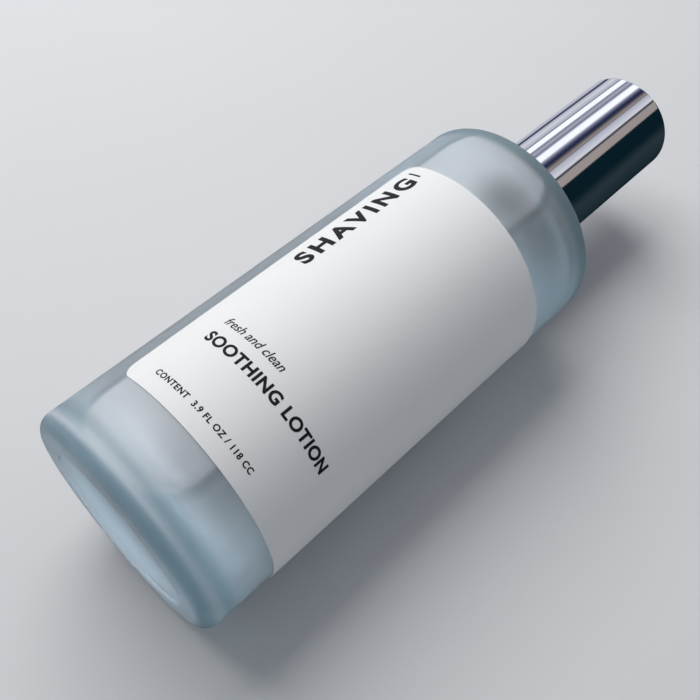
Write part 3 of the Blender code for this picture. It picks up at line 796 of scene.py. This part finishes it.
class BOTTLE_OT_liquid(bpy.types.Operator):
    """Make the liquid with its air bubble, level as the bottle lies"""
    bl_idname = "bottle.liquid"
    bl_label = "Liquid"

    def execute(self, context):
        glass = context.scene.bottle_glass
        overlap = 0.05 * MM
        corners = [
            (0.0, FLOOR - overlap, 0.0),
            (INNER_RADIUS + overlap, FLOOR - overlap, INNER_HEEL),
            (INNER_RADIUS + overlap, INNER_TOP + overlap, INNER_SHOULDER),
            (NECK_BORE + overlap, INNER_TOP + overlap, 1.5 * MM),
            (NECK_BORE + overlap, NECK_FILL, 0.0),
            (0.0, NECK_FILL, 0.0),
        ]
        steps = 20
        outline = rounded(corners, steps)
        level = INNER_RADIUS * math.cos(glass.air_angle)
        facing = math.atan2(UP.y, UP.x)

        def gap_to_level(radius, angle):
            """How far the wall stands beyond the level along each radius."""
            toward = np.maximum(np.cos(angle - facing), 1e-6)
            return np.maximum(radius - level / toward, 0.0)

        def meniscus(radius, angle, height):
            """Distance from the axis: the wall's, or the level's where that is less.

            The gap between them eases in as gap squared over twice the meniscus, so that the
            liquid meets its wall without a corner.
            """
            gap = gap_to_level(radius, angle)
            ease = glass.meniscus
            return radius - np.where(gap < ease, gap ** 2 / (2.0 * ease), gap - ease / 2.0)

        heights = np.linspace(0.0, 1.0, 60)[1:-1, None]
        straight = steps + 1
        low, high = outline[straight], outline[straight + 1]
        outline = np.concatenate((outline[:straight + 1], low + heights * (high - low),
                                  outline[straight + 1:]))
        floor = np.linspace(0.0, 1.0, 12)[:-1, None] * outline[1]
        floor[:, 1] = outline[0, 1]
        outline = np.concatenate((floor, outline[1:]))
        gap = gap_to_level(*np.broadcast_arrays(
            outline[:, :1], whole_turn(GLASS_STEPS)[None, :]))
        # Where the liquid meets its wall: the mask of the painted shade at its brim.
        brim = np.sin(np.clip(gap / (1.6 * glass.meniscus), 0.0, 1.0) * math.pi) ** 2
        liquid = around(outline, GLASS_STEPS, meniscus)
        mesh = solid("liquid", [(liquid, False)], {"brim": [brim]})
        put("bottle_liquid", mesh, clear_liquid(glass), "bottle", "liquid", "aftershave_liquid")
        return {"FINISHED"}


def label_sheet(middle, half, low, high, inner, outer):
    """A label wrapped on the body, closed all round.

    A point at share u round the label and v up it stands at angle middle + u half. Its ends
    are drawn in by corner - sqrt(corner squared - (corner - d) squared) within one corner
    radius of the side, where d is the distance to the side along the body.
    """
    reach = outer * half
    bend = LABEL_CORNER * (1.0 - np.cos(np.linspace(0.0, math.pi / 2.0, 14)))
    middle_run = np.linspace(-reach + LABEL_CORNER, reach - LABEL_CORNER, 120)[1:-1]
    along = np.concatenate((-reach + bend, middle_run, (reach - bend)[::-1]))
    side = np.clip(LABEL_CORNER - (reach - np.abs(along)), 0.0, LABEL_CORNER)
    drawn = LABEL_CORNER - np.sqrt(np.maximum(LABEL_CORNER ** 2 - side ** 2, 0.0))
    share = np.linspace(0.0, 1.0, 16)
    front = (low + drawn)[:, None] + share * (high - low - 2.0 * drawn)[:, None]
    angle = np.repeat((middle + along / outer)[:, None], len(share), axis=1)
    heights = np.concatenate((front, front[:, ::-1]), axis=1)
    angles = np.concatenate((angle, angle), axis=1)
    radius = np.concatenate((np.full_like(front, outer), np.full_like(front, inner)), axis=1)
    return np.stack((radius * np.cos(angles), radius * np.sin(angles), heights), axis=-1)


class BOTTLE_OT_labels(bpy.types.Operator):
    """Make the front and back labels"""
    bl_idname = "bottle.labels"
    bl_label = "Labels"

    def execute(self, context):
        film = label_film(context.scene.bottle_label)
        for name, middle, half in (("front_label", -math.pi / 2.0, FRONT_HALF),
                                   ("back_label", math.pi / 2.0, BACK_HALF)):
            grid = label_sheet(middle, half, LABEL_LOW, LABEL_HIGH, LABEL_INNER, LABEL_OUTER)
            put(name + "_film", solid(name, [(grid, False)]), film, "bottle", "label_film", name)
        return {"FINISHED"}


def lettering(words, height, length, weight, spacing=1.0, lean=0.0):
    """Flat raised letters, their first at x = 0, as a mesh of the given height and length."""
    data = bpy.data.curves.new("letters", "FONT")
    data.body = words
    data.offset = weight
    data.space_character = spacing
    data.shear = lean
    data.extrude = 0.05
    data.resolution_u = 8
    text = bpy.data.objects.new("letters", data)
    bpy.context.scene.collection.objects.link(text)
    bpy.context.view_layer.update()
    graph = bpy.context.evaluated_depsgraph_get()
    mesh = bpy.data.meshes.new_from_object(text.evaluated_get(graph))
    bpy.data.objects.remove(text)
    points = points_of(mesh)
    points[:, 0] = (points[:, 0] - points[:, 0].min()) * length / np.ptp(points[:, 0])
    points[:, 1] *= height / points[:, 1].max()
    points[:, 2] = (points[:, 2] - points[:, 2].min()) / np.ptp(points[:, 2])
    mesh.vertices.foreach_set("co", points.ravel())
    return mesh


def bend_on_label(mesh, proud, middle=-math.pi / 2.0, step=0.4 * MM):
    """Cut a flat mesh into narrow strips and bend it round the body.

    x runs round the body, y up it, and z from 0 to 1 outwards: angle = middle + x / radius.
    """
    along = points_of(mesh)[:, 0]
    model = bmesh.new()
    model.from_mesh(mesh)
    bmesh.ops.remove_doubles(model, verts=model.verts[:], dist=0.002 * MM)
    for x in np.arange(along.min() + step / 2.0, along.max(), step):
        geometry = model.verts[:] + model.edges[:] + model.faces[:]
        bmesh.ops.bisect_plane(model, geom=geometry, plane_co=(x, 0.0, 0.0),
                               plane_no=(1.0, 0.0, 0.0))
    bmesh.ops.recalc_face_normals(model, faces=model.faces[:])
    model.to_mesh(mesh)
    model.free()
    x, y, z = points_of(mesh).T
    radius = LABEL_OUTER - 0.01 * MM + z * (proud + 0.01 * MM)
    angle = middle + x / LABEL_OUTER
    bent = np.stack((radius * np.cos(angle), radius * np.sin(angle), y), axis=-1)
    mesh.vertices.foreach_set("co", bent.ravel())
    mesh.update()
    return mesh


def bars(rows, seed, left, right, top, pitch, height):
    """Rows of small bars of uneven length that stand for fine print, as one flat mesh.

    Each bar is a box; its length is drawn from a seeded generator, and rows run from left
    until the next bar would pass right.
    """
    draw = np.random.default_rng(seed)
    boxes = []
    for row in range(rows):
        x = left
        limit = right - draw.uniform(0.0, 8.0) * MM * (row % 4 == 3)
        while True:
            length = draw.uniform(0.8, 3.2) * MM
            if x + length > limit:
                break
            boxes.append((x, top - row * pitch, length))
            x += length + 0.55 * MM
    x, y, length = (np.array(column)[:, None] for column in zip(*boxes))
    corner_x = x + length * np.array((0, 1, 1, 0, 0, 1, 1, 0))
    corner_y = y + height * np.array((0, 0, 1, 1, 0, 0, 1, 1))
    corner_z = np.zeros_like(corner_x) + np.array((0, 0, 0, 0, 1, 1, 1, 1))
    points = np.stack((corner_x, corner_y, corner_z), axis=-1).reshape(-1, 3)
    sides = np.array(((3, 2, 1, 0), (4, 5, 6, 7), (0, 1, 5, 4), (1, 2, 6, 5), (2, 3, 7, 6),
                      (3, 0, 4, 7)))
    faces = (np.arange(len(boxes))[:, None, None] * 8 + sides).reshape(-1, 4)
    mesh = bpy.data.meshes.new("bars")
    mesh.from_pydata(points.tolist(), [], faces.tolist())
    return mesh


class BOTTLE_OT_print(bpy.types.Operator):
    """Print generic wording and rules on the labels"""
    bl_idname = "bottle.print"
    bl_label = "Print"

    def execute(self, context):
        label = context.scene.bottle_label
        ink = printed_ink("label_ink", label.ink)
        fine = printed_ink("fine_ink", label.fine_ink)
        proud = label.print_height
        quarter = Matrix.Rotation(math.pi / 2.0, 4, "Z")
        # Name, words, height and length in millimetres, weight, spacing, lean, place
        lines = (
            ("content_line", "CONTENT  3.9 FL OZ / 118 CC", 1.15, 24.5, 0.03, 1.15, 0.0,
             Matrix.Translation((-25.0 * MM, 18.3 * MM, 0.0))),
            ("kind_line", "SOOTHING LOTION", 2.3, 32.8, 0.035, 1.1, 0.0,
             Matrix.Translation((-24.8 * MM, 28.5 * MM, 0.0))),
            ("small_line", "fresh and clean", 1.75, 14.6, 0.008, 1.0, 0.3,
             Matrix.Translation((-24.8 * MM, 33.0 * MM, 0.0))),
            ("upright_line", "SHAVING", 4.0, 30.3, 0.04, 1.3, 0.0,
             Matrix.Translation((-24.6 * MM, 52.0 * MM, 0.0)) @ quarter),
        )
        for name, words, height, length, weight, spacing, lean, place in lines:
            mesh = lettering(words, height * MM, length * MM, weight, spacing, lean)
            mesh.transform(place)
            put(name, bend_on_label(mesh, proud), ink, "bottle", "label_film")
        rule = bars(1, 1, 0.0, 4.0 * MM, 0.0, 1.0, 0.45 * MM)
        rule.transform(Matrix.Translation((-28.6 * MM, 83.7 * MM, 0.0)))
        put("rule_line", bend_on_label(rule, proud), ink, "bottle", "label_film")
        back = bars(24, 7, -16.0 * MM, 16.0 * MM, 78.0 * MM, 2.3 * MM, 0.45 * MM)
        put("back_print", bend_on_label(back, proud, math.pi / 2.0), fine, "bottle",
            "label_film")
        return {"FINISHED"}


class BOTTLE_OT_overcap(bpy.types.Operator):
    """Make the bright overcap and its ribbed liner"""
    bl_idname = "bottle.overcap"
    bl_label = "Overcap"

    def execute(self, context):
        scene = context.scene
        inner = CAP_RADIUS - 0.6 * MM
        ceiling = CAP_TOP - 1.0 * MM
        shell = rounded([
            (0.0, CAP_TOP, 0.0), (CAP_RADIUS, CAP_TOP, 0.9 * MM),
            (CAP_RADIUS, CAP_LOW, 0.12 * MM), (inner, CAP_LOW, 0.12 * MM),
            (inner, ceiling, 0.5 * MM), (0.0, ceiling, 0.0),
        ], 10)
        put("overcap_metal", solid("overcap", [(around(shell, GLASS_STEPS), False)]),
            bright_metal(scene.bottle_metal), "overcap", "bright_metal", "overcap_shell")

        outer = inner - 0.25 * MM
        wall = COLLAR_RADIUS + 0.35 * MM
        top = ceiling - 0.1 * MM
        roof = top - 1.0 * MM
        low = CAP_LOW + 0.5 * MM
        rib_low, rib_high = low + 1.2 * MM, low + 16.2 * MM
        liner = rounded([
            (0.0, top, 0.0), (outer, top, 0.7 * MM), (outer, low, 0.1 * MM),
            (wall + 0.2 * MM, low, 0.1 * MM), (wall, low + 0.6 * MM, 0.0),
            (wall, rib_low, 0.0), (wall, rib_low + 0.3 * MM, 0.0),
            (wall, rib_high - 0.3 * MM, 0.0), (wall, rib_high, 0.0),
            (wall, roof, 0.4 * MM), (0.0, roof, 0.0),
        ], 6)

        def ribs(radius, angle, height):
            """Eight low ribs: the wall comes in by a rounded bump of the angle to the nearest."""
            turn = math.pi / 4.0
            off = np.abs((angle % turn) - turn / 2.0) * radius
            bump = np.sqrt(np.clip(1.0 - (off / (0.4 * MM)) ** 2, 0.0, 1.0))
            inside = np.abs(radius - wall) < 0.01 * MM
            ribbed = inside & (height > rib_low + 0.1 * MM) & (height < rib_high - 0.1 * MM)
            return radius - 0.2 * MM * bump * ribbed

        white = moulded_plastic("liner_plastic", scene.bottle_plastic.white, 0.45)
        put("overcap_lining", solid("liner", [(around(liner, 384, ribs), False)]), white,
            "overcap", "white_plastic", "overcap_liner")
        return {"FINISHED"}


class BOTTLE_OT_collar(bpy.types.Operator):
    """Make the satin collar and finish the nut inside it"""
    bl_idname = "bottle.collar"
    bl_label = "Collar"

    def execute(self, context):
        scene = context.scene
        hole = 5.0 * MM
        inner = COLLAR_RADIUS - 0.4 * MM
        roof = COLLAR_TOP - 0.5 * MM
        ferrule = rounded([
            (hole, COLLAR_TOP, 0.12 * MM), (COLLAR_RADIUS, COLLAR_TOP, 1.0 * MM),
            (COLLAR_RADIUS, COLLAR_LOW, 0.1 * MM), (inner, COLLAR_LOW, 0.1 * MM),
            (inner, roof, 0.8 * MM), (hole, roof, 0.0),
        ], 8)
        put("collar_metal", solid("collar", [(around(ferrule), True)]),
            satin_metal(scene.bottle_metal), "collar", "satin_aluminium", "collar_shell")
        repaint("collar_insert", moulded_plastic("nut_plastic", scene.bottle_plastic.white, 0.5))
        return {"FINISHED"}


class BOTTLE_OT_pump(bpy.types.Operator):
    """Make the pump's turret, stem, spring and dip tube, and finish its other pieces"""
    bl_idname = "bottle.pump"
    bl_label = "Pump"

    def execute(self, context):
        scene = context.scene
        plastic = scene.bottle_plastic
        natural = moulded_plastic("pump_plastic", plastic.natural, 0.35, 0.25)
        steel = spring_steel(scene.bottle_metal)
        low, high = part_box("pump_turret")
        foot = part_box("pump_housing")[1].z + 0.1 * MM
        hole, neck, plug = 2.15 * MM, 4.7 * MM, 2.95 * MM
        turret = rounded([
            (hole, high.z, 0.15 * MM), (neck, high.z, 0.7 * MM), (neck, foot, 0.0),
            (plug, foot, 0.0), (plug, low.z, 0.1 * MM), (hole, low.z, 0.1 * MM),
        ], 8)
        put("turret", solid("turret", [(around(turret, 128), True)]), natural, "pump",
            "pump_plastic", "pump_turret")

        low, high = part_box("pump_stem")
        radius, channel, flange, spigot = 1.9 * MM, 0.9 * MM, 2.7 * MM, 1.6 * MM
        flange_low = low.z + 1.2 * MM
        flange_high = flange_low + 0.8 * MM
        stem = rounded([
            (0.0, flange_high + 1.2 * MM, 0.0), (channel, flange_high + 1.2 * MM, 0.2 * MM),
            (channel, high.z, 0.1 * MM), (radius, high.z, 0.25 * MM),
            (radius, flange_high, 0.0), (flange, flange_high, 0.15 * MM),
            (flange, flange_low, 0.15 * MM), (spigot, flange_low, 0.0),
            (spigot, low.z, 0.2 * MM), (0.0, low.z, 0.0),
        ], 6)
        put("stem", solid("stem", [(around(stem, 96), False)]), natural, "plunger",
            "pump_plastic", "pump_stem")

        self.add_tube(plastic)
        self.add_spring(steel)
        repaint("pump_housing", natural)
        repaint("ball_cage", natural)
        repaint("pump_piston", moulded_plastic("piston_plastic", plastic.white, 0.5))
        repaint("inlet_ball", steel)
        repaint("neck_gasket", soft_foam(plastic))
        return {"FINISHED"}

    @staticmethod
    def add_tube(plastic):
        """The dip tube: walls whose lower end is cut along z = low + slope (radius - y)."""
        low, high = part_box("dip_tube")
        radius, bore = high.x, 0.95 * MM
        outline = np.array(((bore, high.z), (radius, high.z), (radius, low.z + 2.5 * MM),
                            (radius, low.z), (bore, low.z), (bore, low.z + 2.5 * MM)))
        grid = around(outline, 64)
        low_rows = slice(3, 5)
        slope = 0.9 * math.tan(math.radians(35.0))
        grid[low_rows, :, 2] += slope * (radius - grid[low_rows, :, 1])
        put("tube", solid("tube", [(grid, True)]),
            moulded_plastic("tube_plastic", plastic.natural, 0.2, 0.7), "pump", "tube_plastic",
            "dip_tube")

    @staticmethod
    def add_spring(steel):
        """The spring: a round section carried up a helix, (r cos a, r sin a, low + rise a)."""
        low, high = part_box("return_spring")
        wire, radius, coils = 0.25 * MM, 2.4 * MM, 8
        angle = np.linspace(0.0, 2.0 * math.pi * coils, 60 * coils)
        rise = np.linspace(low.z + wire, high.z - wire, 60 * coils)
        path = np.stack((radius * np.cos(angle), radius * np.sin(angle), rise), axis=-1)
        turn = whole_turn(12)
        section = wire * np.stack((np.cos(turn), np.sin(turn)), axis=-1)
        spring = put("spring", solid("spring", [(sweep(path, section), False)]), steel, "pump",
                     "spring_steel", "return_spring")
        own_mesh(spring)


class BOTTLE_OT_actuator(bpy.types.Operator):
    """Make the spray button, its metal sleeve and the nozzle"""
    bl_idname = "bottle.actuator"
    bl_label = "Spray button"

    def execute(self, context):
        scene = context.scene
        plastic = scene.bottle_plastic
        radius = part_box("button_sleeve")[1].x - 0.6 * MM
        dish, dish_edge = 0.8 * MM, 5.6 * MM
        skirt, socket, channel = 5.1 * MM, 2.15 * MM, 0.9 * MM
        recess = BUTTON_LOW + 1.9 * MM
        socket_end = BUTTON_LOW + 5.9 * MM
        nozzle_z = BUTTON_LOW + 7.0 * MM
        share = np.linspace(0.0, 1.0, 14)[:, None]
        hollow = np.concatenate((share * dish_edge, BUTTON_TOP - dish * (1.0 - share ** 2)), 1)
        rest = rounded([
            (dish_edge, BUTTON_TOP, 0.0), (radius, BUTTON_TOP, 0.6 * MM),
            (radius, BUTTON_LOW, 0.1 * MM), (skirt, BUTTON_LOW, 0.1 * MM),
            (skirt, recess, 0.2 * MM), (socket, recess, 0.2 * MM), (socket, socket_end, 0.0),
            (channel, socket_end, 0.0), (channel, nozzle_z, 0.0), (0.0, nozzle_z, 0.0),
        ], 8)
        outline = np.concatenate((hollow, rest[1:]))
        mesh = solid("button", [(around(outline), False)])
        mesh = bored(mesh, 2.3 * MM, 4.0 * MM, 10.0 * MM, nozzle_z)
        mesh = bored(mesh, 0.7 * MM, 0.0, 5.0 * MM, nozzle_z)
        put("button", mesh, moulded_plastic("button_plastic", plastic.white, 0.36), "actuator",
            "button_plastic", "spray_button")

        inner = radius + 0.2 * MM
        outer = inner + 0.4 * MM
        high = BUTTON_TOP - 0.4 * MM
        sleeve = rounded([
            (inner, high, 0.05 * MM), (outer, high, 0.15 * MM), (outer, BUTTON_LOW, 0.1 * MM),
            (inner, BUTTON_LOW, 0.1 * MM),
        ], 6)
        mesh = solid("sleeve", [(around(sleeve), True)])
        mesh = bored(mesh, 2.6 * MM, 4.2 * MM, 10.0 * MM, nozzle_z)
        put("sleeve", mesh, satin_metal(scene.bottle_metal), "actuator", "satin_aluminium",
            "button_sleeve")

        back = 4.2 * MM
        length = radius + 0.2 * MM - back
        hole, swirl, nozzle = 0.25 * MM, 0.9 * MM, 2.1 * MM
        insert = rounded([
            (hole, length - 0.3 * MM, 0.0), (0.8 * MM, length, 0.05 * MM),
            (nozzle, length, 0.2 * MM), (nozzle, 0.0, 0.1 * MM), (swirl, 0.0, 0.1 * MM),
            (swirl, length - 0.8 * MM, 0.0), (hole, length - 0.8 * MM, 0.0),
        ], 6)
        mesh = solid("nozzle", [(around(insert, 96), True)])
        mesh.transform(Matrix.Translation((0.0, -back, nozzle_z)) @ FACING_FRONT)
        put("nozzle", mesh, moulded_plastic("nozzle_plastic", plastic.natural, 0.4), "actuator",
            "nozzle_plastic", "nozzle_insert")
        return {"FINISHED"}


SCREEN_START = math.radians(69.0)


def screen_bands():
    """Stops of the studio screen that the bright metal mirrors, by turn from SCREEN_START."""
    dark, navy, ink = (0.003, 0.013, 0.020), (0.022, 0.030, 0.075), (0.04, 0.045, 0.06)
    pale, mist, white = (0.44, 0.45, 0.54), (0.68, 0.69, 0.75), (1.05, 1.08, 1.18)
    slate, brown, taupe = (0.15, 0.16, 0.23), (0.16, 0.135, 0.125), (0.34, 0.30, 0.285)
    smoke = (0.022, 0.036, 0.044)
    return [
        (0.000, mist), (0.130, pale), (0.139, navy), (0.157, navy), (0.166, pale),
        (0.200, mist), (0.243, pale), (0.250, ink), (0.257, white), (0.290, white),
        (0.300, slate), (0.318, pale), (0.340, slate), (0.354, white), (0.386, white),
        (0.394, pale), (0.404, slate), (0.420, navy), (0.436, navy), (0.446, brown),
        (0.462, taupe), (0.466, ink), (0.470, pale), (0.516, mist), (0.522, ink),
        (0.530, ink), (0.536, taupe), (0.582, taupe), (0.588, dark), (0.690, dark),
        (0.760, smoke), (1.000, dark),
    ]


class BOTTLE_OT_stage(bpy.types.Operator):
    """Make the table, the soft studio light and the camera"""
    bl_idname = "bottle.stage"
    bl_label = "Stage"

    def execute(self, context):
        scene = context.scene
        stage = scene.bottle_stage
        self.add_table(stage)
        self.add_screen()
        self.add_panel(stage)
        self.add_lights(scene, stage)
        self.add_camera(scene, stage)
        scene.view_settings.view_transform = "Standard"
        return {"FINISHED"}

    @staticmethod
    def piece_of(name, mesh, look, *unseen_by):
        """A piece of the stage that rays of the named kinds don't see."""
        mesh.materials.append(look.material)
        piece = bpy.data.objects.new(name, mesh)
        bpy.context.scene.collection.objects.link(piece)
        for kind in unseen_by:
            setattr(piece, "visible_" + kind, False)
        return piece

    def add_table(self, stage):
        """A large flat disc under the lying bottle, seen only from its upper side."""
        look = Look("table")
        mottle = look.noise(0.05, detail=4.0)
        look.set(
            Base_Color=look.tone(mottle, stage.floor, 0.985, 1.01),
            Roughness=0.55,
        )
        behind = look.node("ShaderNodeNewGeometry", output="Backfacing")
        seen = look.node("ShaderNodeLightPath", output="Is Camera Ray")
        clear = look.node("ShaderNodeBsdfTransparent")
        look.surface(look.node("ShaderNodeMixShader", None, {
            0: behind * seen, 1: look.principled, 2: clear}))
        steps = 96
        angle = whole_turn(steps)
        side, axis = np.array(ACROSS), np.array((0.0, 0.0, 1.0))
        reach = 6.0
        rim = reach * (np.cos(angle)[:, None] * side + np.sin(angle)[:, None] * axis)
        points = rim - np.array(UP) * (BODY_RADIUS + 0.3 * MM) + 0.05 * axis
        mesh = bpy.data.meshes.new("table")
        mesh.from_pydata(points.tolist(), [], [list(range(steps))])
        mesh.update()
        if mesh.polygons[0].normal.dot(UP) < 0.0:
            mesh.flip_normals()
        table = self.piece_of("table", mesh, look, "glossy", "transmission")

    def add_screen(self):
        """A tall drum of strip lights and flags round the bottle that only gloss mirrors."""
        look = Look("screen")
        place = look.node("ShaderNodeTexCoord", output="Object")
        parts = look.node("ShaderNodeSeparateXYZ", None, {0: place})
        x, y = (Value(look, parts.socket.node.outputs[k]) for k in range(2))
        turn = look.node("ShaderNodeMath", {"operation": "ARCTAN2"}, {
            0: math.sin(SCREEN_START) * x - math.cos(SCREEN_START) * y,
            1: -math.cos(SCREEN_START) * x - math.sin(SCREEN_START) * y})
        share = turn / (2.0 * math.pi) + 0.5
        colour = look.ramp(share, screen_bands())
        glow = look.node("ShaderNodeEmission", None, {"Color": colour, "Strength": 1.0})
        look.surface(glow)
        look.material.cycles.emission_sampling = "NONE"
        outline = np.array(((0.0, -3.0), (1.2, -3.0), (1.2, 3.0), (0.0, 3.0)))
        mesh = solid("screen", [(around(outline, 128), False)])
        screen = self.piece_of("screen", mesh, look, "camera", "diffuse", "transmission",
                               "shadow")

    def add_panel(self, stage):
        """A soft panel beyond the table that only lights what is seen through the glass."""
        look = Look("panel")
        glow = look.node("ShaderNodeEmission", None, {
            "Color": rgba(stage.sky), "Strength": stage.panel_strength})
        look.surface(glow)
        look.material.cycles.emission_sampling = "NONE"
        reach, drop = 1.5, 0.2
        corners = [reach * (a * ACROSS + b * Vector((0.0, 0.0, 1.0))) - drop * UP
                   for a, b in ((-1, -1), (1, -1), (1, 1), (-1, 1))]
        mesh = bpy.data.meshes.new("panel")
        mesh.from_pydata([tuple(corner) for corner in corners], [], [(0, 1, 2, 3)])
        panel = self.piece_of("panel", mesh, look, "camera", "diffuse", "glossy", "shadow")

    @staticmethod
    def add_lights(scene, stage):
        """An even pale room, and one large softbox above and behind the bottle's back."""
        world = bpy.data.worlds.new("room")
        scene.world = world
        world.use_nodes = True
        background = world.node_tree.nodes["Background"]
        background.inputs["Color"].default_value = rgba(stage.sky)
        background.inputs["Strength"].default_value = stage.sky_strength
        middle = Vector((0.0, 0.0, 0.07))
        data = bpy.data.lights.new("key", "AREA")
        data.shape = "RECTANGLE"
        data.size, data.size_y = 0.5, 0.7
        data.energy = stage.key_power
        data.color = (1.0, 0.99, 0.97)
        key = bpy.data.objects.new("key", data)
        scene.collection.objects.link(key)
        key.location = middle + 0.55 * UP + 0.35 * ACROSS + Vector((0.0, 0.0, 0.10))
        key.rotation_mode = "QUATERNION"
        key.rotation_quaternion = (middle - key.location).to_track_quat("-Z", "Y")
        key.visible_glossy = False

    @staticmethod
    def add_camera(scene, stage):
        """The camera stands over the foot's end of the table and looks down along the bottle."""
        data = bpy.data.cameras.new("camera")
        data.lens = stage.lens
        data.sensor_width = 36.0
        data.clip_start = 0.01
        camera = bpy.data.objects.new("camera", data)
        scene.collection.objects.link(camera)
        eye = Vector((-0.04489, -0.15105, -0.01643))
        ahead = Vector((0.26460, 0.86862, 0.41891)).normalized()
        top = Vector((-0.81941, -0.02654, 0.57260))
        right = ahead.cross(top).normalized()
        top = right.cross(ahead)
        turn = Matrix((right, top, -ahead)).transposed().to_4x4()
        camera.matrix_world = Matrix.Translation(eye) @ turn
        scene.camera = camera


SETTINGS = (
    ("bottle_glass", GlassSettings),
    ("bottle_label", LabelSettings),
    ("bottle_metal", MetalSettings),
    ("bottle_plastic", PlasticSettings),
    ("bottle_stage", StageSettings),
)
OPERATORS = (
    BOTTLE_OT_stage,
    BOTTLE_OT_glass,
    BOTTLE_OT_liquid,
    BOTTLE_OT_labels,
    BOTTLE_OT_print,
    BOTTLE_OT_overcap,
    BOTTLE_OT_collar,
    BOTTLE_OT_pump,
    BOTTLE_OT_actuator,
)


class BOTTLE_PT_panel(bpy.types.Panel):
    """Lists the bottle's settings and the operators that make its pieces"""
    bl_label = "Aftershave bottle"
    bl_idname = "BOTTLE_PT_panel"
    bl_space_type = "VIEW_3D"
    bl_region_type = "UI"
    bl_category = "Bottle"

    def draw(self, context):
        for name, settings in SETTINGS:
            column = self.layout.box().column()
            for key in settings.__annotations__:
                column.prop(getattr(context.scene, name), key)
        for operator in OPERATORS:
            self.layout.operator(operator.bl_idname)


CLASSES = tuple(settings for _, settings in SETTINGS) + OPERATORS + (BOTTLE_PT_panel,)


def register():
    for item in CLASSES:
        bpy.utils.register_class(item)
    for name, settings in SETTINGS:
        setattr(bpy.types.Scene, name, PointerProperty(type=settings))


def unregister():
    for name, _ in SETTINGS:
        delattr(bpy.types.Scene, name)
    for item in reversed(CLASSES):
        bpy.utils.unregister_class(item)


def main():
    register()
    for operator in OPERATORS:
        group, name = operator.bl_idname.split(".")
        getattr(getattr(bpy.ops, group), name)()


if __name__ == "__main__":
    main()
